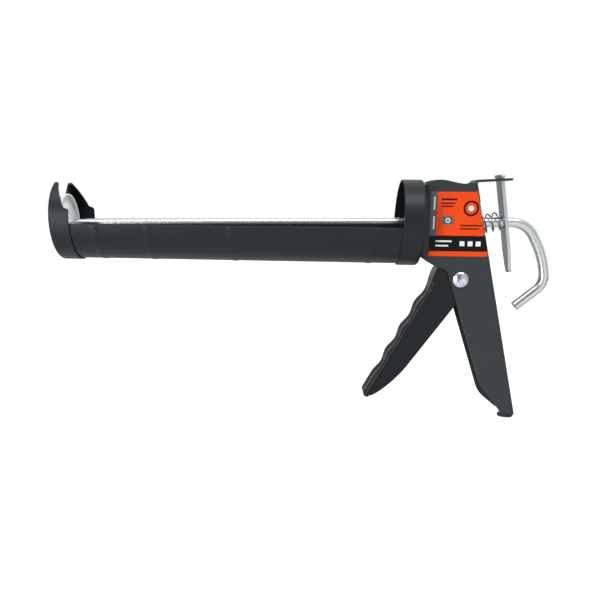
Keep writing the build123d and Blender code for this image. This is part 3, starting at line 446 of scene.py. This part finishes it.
def printed_film(name):
    """Glossy printed film with a plain pattern of bars and rings; its UV is in millimetres."""
    material, tree, shader = new_material(name)
    texture = new_node(tree, "ShaderNodeTexCoord")
    grain = place_group(tree, GRAIN, Place=texture.outputs["Object"], Fine=1200.0, Slow=40.0)
    warm = (ORANGE[0] * 0.94, ORANGE[1] * 0.90, ORANGE[2], 1.0)
    colour = blend_colours(tree, grain.outputs["Drift"], ORANGE + (1.0,), warm)
    for across, down, width, height, ink in LABEL_BARS:
        bar = place_group(tree, BAR, Place=texture.outputs["UV"], Across=across, Down=down,
                          Half_Width=width, Half_Height=height)
        colour = blend_colours(tree, bar.outputs["Mask"], colour, ink + (1.0,))
    for across, down, outer, inner, ink in LABEL_RINGS:
        ring = place_group(tree, RING, Place=texture.outputs["UV"], Across=across, Down=down,
                           Outer=outer, Inner=inner)
        colour = blend_colours(tree, ring.outputs["Mask"], colour, ink + (1.0,))
    link(tree, colour, shader, "Base Color")
    rough = new_node(tree, "ShaderNodeMapRange", Value=grain.outputs["Drift"], To_Min=0.30,
                     To_Max=0.42)
    link(tree, rough.outputs["Result"], shader, "Roughness")
    shader.inputs["Specular IOR Level"].default_value = FILM_SPECULAR
    link(tree, bump(tree, grain.outputs["Grain"], 0.05, 0.0001), shader, "Normal")
    return material


FILM = printed_film("printed_film")


def give(material, *nodes):
    """Gives a material to CAD nodes that stay visible."""
    for name in nodes:
        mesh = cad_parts[name].data
        mesh.materials.clear()
        mesh.materials.append(material)


give(COAT, "front_cap", "rear_collar", "collar_rivets")
give(COAT_PAINTED_LIGHTER, "handle_frame")
give(ZINC_SHEET, "rivet_washer", "drive_plate", "drive_plate_backer", "spring_washer",
     "release_lever")
give(ZINC_DISH, "plunger_washer")
give(RIVET, "pivot_rivet")


# ---------------------------------------------------------------- surfaces
def grid_faces(rows, columns, wrap_rows=False, wrap_columns=False):
    """Quads between neighbouring points of a grid whose points are stored row by row."""
    row = np.arange(rows if wrap_rows else rows - 1)[:, None]
    column = np.arange(columns if wrap_columns else columns - 1)[None, :]
    below = (row + 1) % rows
    beside = (column + 1) % columns
    corners = (row * columns + column, row * columns + beside,
               below * columns + beside, below * columns + column)
    return np.stack(corners, axis=-1).reshape(-1, 4)


def add_piece(name, points, faces, material, body, node, sharp=40.0, uv=None,
              weld=False):
    """Object from points in millimetres; it rides on a body and stands for a CAD node.

    The UV, where there is one, has one pair of values for each point.
    """
    mesh = bpy.data.meshes.new(name)
    mesh.from_pydata((np.asarray(points) * MM).tolist(), [], [list(f) for f in faces])
    if uv is not None:
        layer = mesh.uv_layers.new(name="path")
        corner = np.empty(len(mesh.loops), dtype=np.int32)
        mesh.loops.foreach_get("vertex_index", corner)
        layer.data.foreach_set("uv", np.asarray(uv, np.float32)[corner].ravel())
    work = bmesh.new()
    work.from_mesh(mesh)
    if weld:
        bmesh.ops.remove_doubles(work, verts=work.verts, dist=0.001 * MM)
    bmesh.ops.recalc_face_normals(work, faces=work.faces)
    work.to_mesh(mesh)
    work.free()
    mesh.shade_smooth()
    mesh.set_sharp_from_angle(angle=math.radians(sharp))
    mesh.materials.append(material)
    piece = bpy.data.objects.new(name, mesh)
    bpy.context.scene.collection.objects.link(piece)
    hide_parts(node)
    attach(piece, body)
    return piece


def on_rod(local):
    """Points from the rod's own frame, whose X is its axis, to the part's frame."""
    droop = math.radians(ROD_DROOP)
    x = local[:, 0] - FRAME_FRONT
    return np.stack([FRAME_FRONT + x * math.cos(droop) - local[:, 2] * math.sin(droop),
                     local[:, 1],
                     ROD_RISE + x * math.sin(droop) + local[:, 2] * math.cos(droop)], axis=1)


# ---------------------------------------------------------------- trough
def swell(x, centre, half):
    """Smooth bump of height 1 and the given half length along x."""
    share = np.clip(np.abs(x - centre) / half, 0.0, 1.0)
    return np.cos(share * math.pi / 2) ** 2


def trough_rise(x, turn):
    """How far the wall stands out from its round form: beads, and small dents at the side."""
    rise = np.zeros_like(x)
    for station in TROUGH_BEADS:
        rise = rise + BEAD_HEIGHT * swell(x, station, BEAD_HALF)
    for station, angle, length, spread, depth in TROUGH_DENTS:
        rise = rise - depth * swell(x, station, length) * swell(turn, angle, spread)
    return rise


def make_trough():
    """Half-round wall with rounded rims: a grid of stations by a closed loop round the wall."""
    sides = 73               # points on each face of the wall
    rim = 7                  # points between the two faces, round each rim
    half = SHEET / 2
    middle = TROUGH_INNER + half
    reach = math.acos((half - TROUGH_RIM) / middle)
    stations = np.unique(np.concatenate([
        np.linspace(TROUGH_START, TROUGH_END, 160),
        *[np.linspace(s - BEAD_HALF, s + BEAD_HALF, 15) for s in TROUGH_BEADS]]))
    arc = np.linspace(-reach, reach, sides)
    turn_in = np.linspace(0.0, math.pi, rim + 2)[1:-1]
    turn = np.concatenate([arc, np.full(rim, reach), arc[::-1], np.full(rim, -reach)])
    over = np.concatenate([np.full(sides, half), half * np.cos(turn_in),
                           np.full(sides, -half), -half * np.cos(turn_in)])
    along = np.concatenate([np.zeros(sides), half * np.sin(turn_in),
                            np.zeros(sides), -half * np.sin(turn_in)])
    x, angle = np.meshgrid(stations, turn, indexing="ij")
    radius = middle + over[None, :] + trough_rise(x, angle)
    y = radius * np.sin(angle) + along[None, :] * np.cos(angle)
    z = -radius * np.cos(angle) + along[None, :] * np.sin(angle)
    points = np.stack([x, y, z], axis=-1).reshape(-1, 3)
    loop = len(turn)
    last = 2 * sides + rim - 1
    faces = [tuple(f) for f in grid_faces(len(stations), loop, wrap_columns=True)]
    for first in (0, (len(stations) - 1) * loop):
        for i in range(sides - 1):
            faces.append((first + i, first + i + 1, first + last - 1 - i, first + last - i))
        faces.append(tuple(first + i for i in range(sides - 1, sides + rim + 1)))
        faces.append(tuple(first + i for i in [*range(last, loop), 0]))
    return add_piece("trough_wall", points, faces, COAT, "frame",
                     "barrel_trough", sharp=60.0)


# ---------------------------------------------------------------- rod
def rounded_path(points, radii, step):
    """Points along straight runs joined by arcs: each corner has one radius."""
    path = [np.array(points[0], float)]
    for before, corner, after, radius in zip(points, points[1:], points[2:], radii):
        before, corner, after = (np.array(p, float) for p in (before, corner, after))
        back = (before - corner) / np.linalg.norm(before - corner)
        ahead = (after - corner) / np.linalg.norm(after - corner)
        half = math.acos(float(np.clip(back @ ahead, -1, 1))) / 2
        inward = (back + ahead) / np.linalg.norm(back + ahead)
        centre = corner + inward * radius / math.sin(half)
        first = corner + back * radius / math.tan(half)
        sweep = math.pi - 2 * half
        side = math.copysign(1.0, back[0] * ahead[1] - back[1] * ahead[0])
        start = first - centre
        for angle in np.linspace(0.0, sweep, max(3, int(sweep * radius / step))):
            turn = -side * angle
            spun = (start[0] * math.cos(turn) - start[1] * math.sin(turn),
                    start[0] * math.sin(turn) + start[1] * math.cos(turn))
            path.append(centre + np.array(spun))
    path.append(np.array(points[-1], float))
    return np.array(path)


def rod_rings():
    """Rings down the rod: its X, its radius and the height at which its top is cut off."""
    head = HUB_FACE - ROD_HEAD_THICKNESS
    neck_end = ROD_SHOULDER + NECK_LENGTH
    rings = [(head, 0.01), (head, ROD_HEAD_RADIUS - ROD_HEAD_CHAMFER),
             (head + ROD_HEAD_CHAMFER, ROD_HEAD_RADIUS), (HUB_FACE, ROD_HEAD_RADIUS),
             (HUB_FACE, SPIGOT_RADIUS), (ROD_SHOULDER, SPIGOT_RADIUS),
             (ROD_SHOULDER, NECK_RADIUS), (neck_end, NECK_RADIUS),
             (neck_end + TAPER_LENGTH, ROD_RADIUS)]
    rings = [(x, radius, UNCUT) for x, radius in rings]
    root = ROD_RADIUS - TOOTH_DEPTH
    rise = (ROD_RADIUS + CUT_OVER - root) / (TOOTH_LENGTH - TOOTH_FLAT)
    crest = TOOTH_FLAT + (ROD_RADIUS - root) / rise
    for i in range(TOOTH_COUNT):
        x = TOOTH_START + i * TOOTH_PITCH
        rings += [(x, ROD_RADIUS, ROD_RADIUS), (x + 0.01, ROD_RADIUS, root),
                  (x + TOOTH_FLAT, ROD_RADIUS, root)]
        for share in (0.35, 0.7, 1.0):
            at = TOOTH_FLAT + (crest - TOOTH_FLAT) * share
            rings.append((x + at, ROD_RADIUS, root + (ROD_RADIUS - root) * share))
    return rings


def make_rod():
    """Toothed rod and hook: rings of points along the rod's line, cut off at the notches."""
    rings = rod_rings()
    line = rounded_path(HOOK_LINE, HOOK_RADII, 1.2)
    ahead = np.gradient(line, axis=0)
    ahead /= np.linalg.norm(ahead, axis=1)[:, None]
    straight = np.array([[x, 0.0] for x, _, _ in rings])
    chamfer, depth = HOOK_CHAMFER
    centre = np.concatenate([straight, line[:-1], [line[-1] - ahead[-1] * chamfer, line[-1]]])
    direction = np.concatenate([np.tile([1.0, 0.0], (len(rings), 1)), ahead, ahead[-1:]])
    radius = np.array([r for _, r, _ in rings] + [ROD_RADIUS] * len(line) + [ROD_RADIUS - depth])
    top = np.array([t for _, _, t in rings] + [UNCUT] * (len(line) + 1))
    angle = np.linspace(0.0, 2 * math.pi, ROD_SIDES, endpoint=False)
    round_height = radius[:, None] * np.cos(angle)[None, :]
    height = np.minimum(round_height, top[:, None])
    side = radius[:, None] * np.sin(angle)[None, :]
    up = np.stack([-direction[:, 1], direction[:, 0]], axis=1)
    local = np.stack([centre[:, 0:1] + up[:, 0:1] * height, side,
                      centre[:, 1:2] + up[:, 1:2] * height], axis=-1)
    points = on_rod(local.reshape(-1, 3))
    count = len(centre)
    run = np.concatenate([[0.0], np.cumsum(np.linalg.norm(np.diff(centre, axis=0), axis=1))])
    uv = np.stack(np.broadcast_arrays(np.abs(angle - math.pi)[None, :] * ROD_RADIUS * MM,
                                      run[:, None] * MM), axis=-1).reshape(-1, 2)
    faces = [tuple(f) for f in grid_faces(count, ROD_SIDES, wrap_columns=True)]
    faces.append(tuple(range(ROD_SIDES)))
    faces.append(tuple(range((count - 1) * ROD_SIDES, count * ROD_SIDES)))
    piece = add_piece("rod_with_hook", points, faces, ZINC_ROD, "rod",
                      "toothed_rod", sharp=30.0, uv=uv)
    # Painted shade: faces cut off by the notches take the darkened notch material.
    piece.data.materials.append(ZINC_NOTCH_PAINTED_SHADE)
    cut = (round_height > top[:, None] + 0.01).ravel()
    for face in piece.data.polygons:
        if cut[list(face.vertices)].sum() >= 3:
            face.material_index = 1
    return piece


# ---------------------------------------------------------------- springs
def coil_points(length, turns, radius, start, flat_turns):
    """Centre line of a coil along +X, from a start angle in degrees.

    Over the flat turns at each end, if it has any, its pitch grows to the pitch between.
    """
    share = np.linspace(0.0, 1.0, int(turns * 40))
    turn = share * turns
    pitch = np.ones_like(turn)
    if flat_turns:
        grown = np.minimum(np.minimum(turn, turns - turn) / flat_turns, 1.0)
        pitch = CLOSED_PITCH + (1 - CLOSED_PITCH) * grown
    advance = np.concatenate([[0.0], np.cumsum((pitch[1:] + pitch[:-1]) / 2)])
    advance *= length / advance[-1]
    angle = 2 * math.pi * turn
    y = radius * np.sin(angle)
    z = -radius * np.cos(angle)
    spin = math.radians(start)
    return np.stack([advance, y * math.cos(spin) - z * math.sin(spin),
                     y * math.sin(spin) + z * math.cos(spin)], axis=1)


def wire_tube(line, radius, sides=12):
    """Round wire along the centre line of a coil round the X axis; each end is domed."""
    ahead = np.gradient(line, axis=0)
    ahead /= np.linalg.norm(ahead, axis=1)[:, None]
    out = line * np.array([0.0, 1.0, 1.0])
    out /= np.linalg.norm(out, axis=1)[:, None]
    across = np.cross(ahead, out)
    size = np.full(len(line), radius)
    size[[0, -1]] = 0.6 * radius
    size[[1, -2]] = 0.92 * radius
    angle = np.linspace(0.0, 2 * math.pi, sides, endpoint=False)
    ring = (out[:, None, :] * np.cos(angle)[None, :, None]
            + across[:, None, :] * np.sin(angle)[None, :, None])
    points = (line[:, None, :] + ring * size[:, None, None]).reshape(-1, 3)
    faces = [tuple(f) for f in grid_faces(len(line), sides, wrap_columns=True)]
    faces.append(tuple(range(sides)))
    faces.append(tuple(range((len(line) - 1) * sides, len(line) * sides)))
    return points, faces


def make_return_spring():
    """Coil round the rod that pushes the drive plates back; the joint flattens it."""
    line = coil_points(RETURN_END - RETURN_START, RETURN_TURNS, RETURN_RADIUS, 0.0, 1.0)
    points, faces = wire_tube(line, RETURN_WIRE)
    piece = add_piece("return_coil", on_rod(points + np.array([RETURN_START, 0.0, 0.0])), faces,
                      WIRE, "frame", "return_spring")
    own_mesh(piece)


def make_release_spring():
    """Coil between the spine and the release lever; the lever flattens it."""
    line = coil_points(RELEASE_LENGTH, RELEASE_TURNS, RELEASE_RADIUS, RELEASE_START_TURN, 0.0)
    points, faces = wire_tube(line, RELEASE_WIRE)
    tilt = math.radians(RELEASE_TILT)
    x = points[:, 0] - RELEASE_LENGTH / 2
    placed = np.stack([RELEASE_PLACE[0] + x * math.cos(tilt) - points[:, 2] * math.sin(tilt),
                       points[:, 1],
                       RELEASE_PLACE[1] + x * math.sin(tilt) + points[:, 2] * math.cos(tilt)],
                      axis=1)
    piece = add_piece("release_coil", placed, faces, WIRE, "frame",
                      "release_spring")
    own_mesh(piece)


# ---------------------------------------------------------------- trigger
def trigger_outline(places):
    """Side-view line of the trigger's front: the CAD mesh's wavy edge, then the round tip.

    Returns evenly spaced points, from the top down, with the outward direction at each, how
    far the near bend is set back there, most at the crests of the wave and not at all in its
    grooves, and the share of the web's hollow there, which fades out at both ends.
    """
    lean = math.radians(WEB_LEAN)
    down = np.array([-math.sin(lean), -math.cos(lean)])
    out = np.array([-math.cos(lean), math.sin(lean)])
    flat = places[:, [0, 2]]
    along = (flat - WEB_POINT) @ down
    off = (flat - WEB_POINT) @ out
    edge = ((places[:, 1] < 0.01 - TRIGGER_HALF) & (along > WEB_TOP) & (along < WEB_LENGTH)
            & (np.abs(off) < WEB_WAVE + 0.05))
    wave = flat[edge][np.argsort(along[edge])]
    centre = WEB_POINT + WEB_LENGTH * down + (WEB_WAVE - TIP_RADIUS) * out
    turn = np.radians(np.linspace(180.0 - WEB_LEAN, 360.0 - TIP_TURN, 20))
    tip = centre + TIP_RADIUS * np.stack([np.cos(turn), np.sin(turn)], axis=1)
    line = np.concatenate([wave, tip])
    run = np.concatenate([[0.0], np.cumsum(np.linalg.norm(np.diff(line, axis=0), axis=1))])
    even = np.linspace(0.0, run[-1], int(run[-1] / SKIN_STEP))
    line = np.stack([np.interp(even, run, line[:, 0]), np.interp(even, run, line[:, 1])], axis=1)
    for _ in range(4):
        line[1:-1] = (line[:-2] + 2 * line[1:-1] + line[2:]) / 4
    ahead = np.gradient(line, axis=0)
    ahead /= np.linalg.norm(ahead, axis=1)[:, None]
    swing = np.clip((line - WEB_POINT) @ out, -WEB_WAVE, WEB_WAVE)
    mean, gain = SETBACK_SHARES
    back = np.clip(BEND_SETBACK * (mean + gain * swing / WEB_WAVE), 0.0, None)
    end = np.minimum(even, np.clip(even[-1] - TIP_RADIUS - even, 0.0, None))
    share = 0.5 - 0.5 * np.cos(math.pi * np.clip(end / WEB_FADE, 0.0, 1.0))
    return line, np.stack([ahead[:, 1], -ahead[:, 0]], axis=1), back, share


def web_sag(across, back, share):
    """Depth of the web's skin below the crests of its two bends.

    It is a hollow with the shape of one wave of a cosine between the bends, times its share
    there, and on the near half the bend's setback times the square of the way out to it.
    """
    half = np.where(across < 0, TRIGGER_HALF - TRIGGER_BEND, TRIGGER_HALF - TRIGGER_FAR_BEND)
    out = np.clip(np.abs(across) / half, 0.0, 1.0)
    hollow = WEB_HOLLOW * share * (0.5 + 0.5 * np.cos(math.pi * out))
    return hollow + np.where(across < 0, back * out ** 2, 0.0)


def tuck_corner(places, line, outward, back, share):
    """Moves the CAD mesh's points near the web's corners just under the new skin.

    Returns the moved points, and which of them the skin covers.
    """
    apart = np.linalg.norm(places[:, None, [0, 2]] - line[None], axis=2)
    near = np.argmin(apart, axis=1)
    depth = -np.sum((places[:, [0, 2]] - line[near]) * outward[near], axis=1)
    bend = np.where(places[:, 1] < 0, TRIGGER_BEND, TRIGGER_FAR_BEND)
    back = np.where(places[:, 1] < 0, back[near], 0.0)
    side = TRIGGER_HALF - np.abs(places[:, 1])
    close = ((near > 0) & (depth > -0.3) & (side > -0.01)
             & (apart[np.arange(len(places)), near] < 2 * TRIGGER_BEND + BEND_SETBACK))
    web = close & (depth < SKIN_COVER)
    sag = web_sag(places[:, 1], back, share[near]) + SKIN_LIFT
    new_depth = np.where(web, np.maximum(depth, sag), depth)
    corner = np.stack([bend - side, bend + back - new_depth], axis=1)
    reach = np.linalg.norm(corner, axis=1)
    under = bend - SKIN_TUCK
    tucked = close & (corner > 0).all(axis=1) & (reach > under)
    corner[tucked] *= (under / reach)[tucked, None]
    new_depth[tucked] = (bend + back - corner[:, 1])[tucked]
    moved = places.copy()
    inward = np.where(close, new_depth - depth, 0.0)[:, None]
    moved[:, [0, 2]] -= outward[near] * inward
    half = TRIGGER_HALF - bend + corner[:, 0]
    moved[tucked, 1] = (np.sign(places[:, 1]) * half)[tucked]
    return moved, web


def make_trigger():
    """Trigger with the bend radius of folded sheet along both edges of its front web.

    A copy of the CAD mesh loses the web's outer face, has its square corners tucked in, and
    gets a new skin there: a hollowed front, two round bends and two short legs on the sides.
    """
    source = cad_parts["trigger"].data
    places = np.empty(len(source.vertices) * 3)
    source.vertices.foreach_get("co", places)
    places = places.reshape(-1, 3) / MM
    line, outward, back, share = trigger_outline(places)
    turn = np.linspace(0.0, math.pi / 2, 10)
    flat = np.linspace(TRIGGER_BEND - TRIGGER_HALF, TRIGGER_HALF - TRIGGER_BEND, 13)[1:-1]
    near_wide = TRIGGER_BEND * (1 - np.cos(turn)) - TRIGGER_HALF - SKIN_LIFT
    far_wide = TRIGGER_HALF + SKIN_LIFT - TRIGGER_FAR_BEND * (1 - np.cos(turn))
    wide = np.concatenate([near_wide[:1], near_wide, flat, far_wide[::-1], far_wide[:1]])
    arch = 1 - np.sin(turn)
    deep = np.concatenate([[TRIGGER_BEND + SKIN_LEG], TRIGGER_BEND * arch, np.zeros(len(flat)),
                           TRIGGER_FAR_BEND * arch[::-1], [TRIGGER_BEND + SKIN_LEG]])
    deep = deep[None, :] + web_sag(wide[None, :], back[:, None], share[:, None]) - SKIN_LIFT
    skin = np.empty(deep.shape + (3,))
    skin[:, :, 0] = line[:, 0:1] - outward[:, 0:1] * deep
    skin[:, :, 1] = wide
    skin[:, :, 2] = line[:, 1:2] - outward[:, 1:2] * deep
    base = len(places)
    moved, covered = tuck_corner(places, line, outward, back, share)
    points = np.concatenate([moved, skin.reshape(-1, 3)])
    faces = [tuple(p.vertices) for p in source.polygons if not covered[list(p.vertices)].all()]
    faces += [tuple(base + f) for f in grid_faces(*deep.shape)[:, ::-1]]
    return add_piece("trigger_pressing", points, faces, COAT_PAINTED_DARKER, "trigger",
                     "trigger", sharp=32.0, weld=True)


# ---------------------------------------------------------------- plunger and label
def make_plunger():
    """Dished plate on the rod's end: its rounded section turned about the rod's axis."""
    section = rounded_path(PLUNGER_SECTION + PLUNGER_SECTION[:1], PLUNGER_RADII, 0.25)[:-1]
    angle = np.linspace(0.0, 2 * math.pi, 96, endpoint=False)
    radius = section[:, 1:2]
    ripple = 1.0 + PLUNGER_RIPPLE * np.sin(3 * angle)[None, :]
    y = radius * np.sin(angle)[None, :] * ripple
    z = radius * np.cos(angle)[None, :] * ripple
    local = np.stack([np.broadcast_to(section[:, 0:1], y.shape), y, z], axis=-1)
    faces = grid_faces(len(section), len(angle), wrap_rows=True, wrap_columns=True)
    return add_piece("plunger_dish", on_rod(local.reshape(-1, 3)), faces, ZINC_DISH, "plunger",
                     "plunger_plate", sharp=50.0)


def make_label():
    """Film on the near side plate and over the spine's bend, with its edges turned down."""
    lean = math.radians(SPINE_LEAN)
    z = np.linspace(LABEL_TOP, LABEL_BOTTOM, 41)
    z = np.concatenate([z[:1], z, z[-1:]])
    flat = np.linspace(0.0, 1.0, 31)
    flat = np.concatenate([flat[:1], flat])
    bend = np.radians(np.linspace(0.0, LABEL_WRAP, 12))[1:]
    bend = np.concatenate([bend, bend[-1:]])
    lift = np.full((len(z), len(flat) + len(bend)), LABEL_LIFT)
    lift[[0, -1], :] = LABEL_EDGE
    lift[:, [0, -1]] = LABEL_EDGE
    front = FRAME_FRONT + LABEL_MARGIN + LABEL_SKEW * (LABEL_TOP - z) / (LABEL_TOP - LABEL_BOTTOM)
    spine = FRAME_FRONT + FRAME_DEPTH + (FRAME_TOP - z) * math.tan(lean)
    back = spine - BEND_RADIUS / math.cos(lean)
    turn = np.concatenate([np.zeros(len(flat)), bend])[None, :]
    share = np.concatenate([flat, np.ones(len(bend))])[None, :]
    out = (BEND_RADIUS + lift) * np.sin(turn)
    x = front[:, None] + (back - front)[:, None] * share + out * math.cos(lean)
    y = -FRAME_HALF + BEND_RADIUS - (BEND_RADIUS + lift) * np.cos(turn)
    up = z[:, None] + out * math.sin(lean)
    points = np.stack([x, y, up], axis=-1).reshape(-1, 3)
    across = (x - front[:, None]) + BEND_RADIUS * (turn - np.sin(turn) * math.cos(lean))
    down = np.broadcast_to(LABEL_TOP - z[:, None], across.shape)
    uv = np.stack([across, down], axis=-1).reshape(-1, 2)
    faces = grid_faces(len(z), len(flat) + len(bend))[:, ::-1]
    return add_piece("label_film", points, faces, FILM, "frame", "label", uv=uv)


# ---------------------------------------------------------------- studio
def make_camera():
    """Camera turned left, then down, then rolled, about its own axes."""
    data = bpy.data.cameras.new("camera")
    data.lens = CAMERA_LENS
    data.sensor_width = 36.0
    data.shift_x, data.shift_y = CAMERA_SHIFT
    data.clip_start = 0.01
    camera = bpy.data.objects.new("camera", data)
    bpy.context.scene.collection.objects.link(camera)
    turn = Matrix.Rotation(math.radians(CAMERA_TURN), 4, "Z")
    down = Matrix.Rotation(math.radians(90 - CAMERA_DOWN), 4, "X")
    roll = Matrix.Rotation(math.radians(CAMERA_ROLL), 4, "Z")
    camera.matrix_world = Matrix.Translation(CAMERA_PLACE) @ turn @ down @ roll
    bpy.context.scene.camera = camera


def make_lamp(name, place, target, size, power):
    """Rectangular area lamp aimed at a point."""
    data = bpy.data.lights.new(name, "AREA")
    data.shape = "RECTANGLE"
    data.size, data.size_y = size
    data.energy = power
    lamp = bpy.data.objects.new(name, data)
    bpy.context.scene.collection.objects.link(lamp)
    aim = Vector(target) - Vector(place)
    lamp.matrix_world = (Matrix.Translation(place)
                         @ aim.to_track_quat("-Z", "Y").to_matrix().to_4x4())


def make_floor():
    """Pale floor below the object, white to the camera wherever no shadow falls."""
    low = cad_low.z - FLOOR_GAP
    mesh = bpy.data.meshes.new("floor")
    corners = [(-FLOOR_HALF, FLOOR_FRONT, low), (FLOOR_HALF, FLOOR_FRONT, low),
               (FLOOR_HALF, FLOOR_BACK, low), (-FLOOR_HALF, FLOOR_BACK, low)]
    mesh.from_pydata(corners, [], [(0, 1, 2, 3)])
    floor = bpy.data.objects.new("floor", mesh)
    bpy.context.scene.collection.objects.link(floor)
    material, tree, shader = new_material("pale_floor")
    shader.inputs["Base Color"].default_value = (FLOOR_COLOUR,) * 3 + (1.0,)
    shader.inputs["Roughness"].default_value = 0.9
    path = new_node(tree, "ShaderNodeLightPath")
    mirrored = maths(tree, "MAXIMUM", path.outputs["Is Glossy Ray"],
                     path.outputs["Is Transmission Ray"])
    seen = maths(tree, "MULTIPLY", path.outputs["Is Camera Ray"], FLOOR_GLOW[0])
    glow = maths(tree, "MULTIPLY_ADD", mirrored, FLOOR_GLOW[1], seen)
    shader.inputs["Emission Color"].default_value = (1.0, 1.0, 1.0, 1.0)
    link(tree, glow, shader, "Emission Strength")
    mesh.materials.append(material)


def make_world():
    """Room that is white to the camera; it lights the part from behind and overhead.

    It is dimmer in front, most so to the left, and far to the left behind.
    """
    world = bpy.data.worlds.new("room")
    bpy.context.scene.world = world
    world.use_nodes = True
    tree = world.node_tree
    background = tree.nodes["Background"]
    path = new_node(tree, "ShaderNodeLightPath")
    direction = new_node(tree, "ShaderNodeTexCoord").outputs["Generated"]
    parts = new_node(tree, "ShaderNodeSeparateXYZ", Vector=direction)
    front = new_node(tree, "ShaderNodeMapRange", Value=parts.outputs["X"], From_Min=0.05,
                     From_Max=0.34, To_Min=ROOM_FRONT[0], To_Max=ROOM_FRONT[1],
                     set_interpolation_type="SMOOTHSTEP").outputs["Result"]
    back = new_node(tree, "ShaderNodeMapRange", Value=parts.outputs["X"], From_Min=-0.40,
                    From_Max=-0.05, To_Min=ROOM_LEFT, To_Max=ROOM_BACK,
                    set_interpolation_type="SMOOTHSTEP").outputs["Result"]
    behind = new_node(tree, "ShaderNodeMapRange", Value=parts.outputs["Y"], From_Min=-0.35,
                      From_Max=0.25, To_Min=front, To_Max=back,
                      set_interpolation_type="SMOOTHSTEP").outputs["Result"]
    above = new_node(tree, "ShaderNodeMapRange", Value=parts.outputs["Z"], From_Min=0.76,
                     From_Max=0.95, To_Min=0.0, To_Max=ROOM_BACK,
                     set_interpolation_type="SMOOTHSTEP").outputs["Result"]
    room = maths(tree, "MAXIMUM", behind, above)
    strength = maths(tree, "MAXIMUM", room, path.outputs["Is Camera Ray"])
    tree.links.new(strength, background.inputs["Strength"])
    background.inputs["Color"].default_value = (1.0, 1.0, 1.0, 1.0)


make_trough()
make_rod()
make_return_spring()
make_release_spring()
make_plunger()
make_label()
make_trigger()

middle = (cad_low + cad_high) / 2
make_camera()
make_world()
make_floor()
make_lamp("softbox", (0.15, -0.45, 0.98), middle, (1.3, 0.45), 9.0)
make_lamp("low_fill", (0.52, -0.70, -0.20), (0.28, 0.0, -0.05), (0.7, 0.5), 0.6)
make_lamp("left_strip", (-0.60, -1.00, 0.05), (0.22, 0.0, -0.03), (0.20, 0.8), 9.5)
bpy.context.scene.view_settings.view_transform = "Standard"
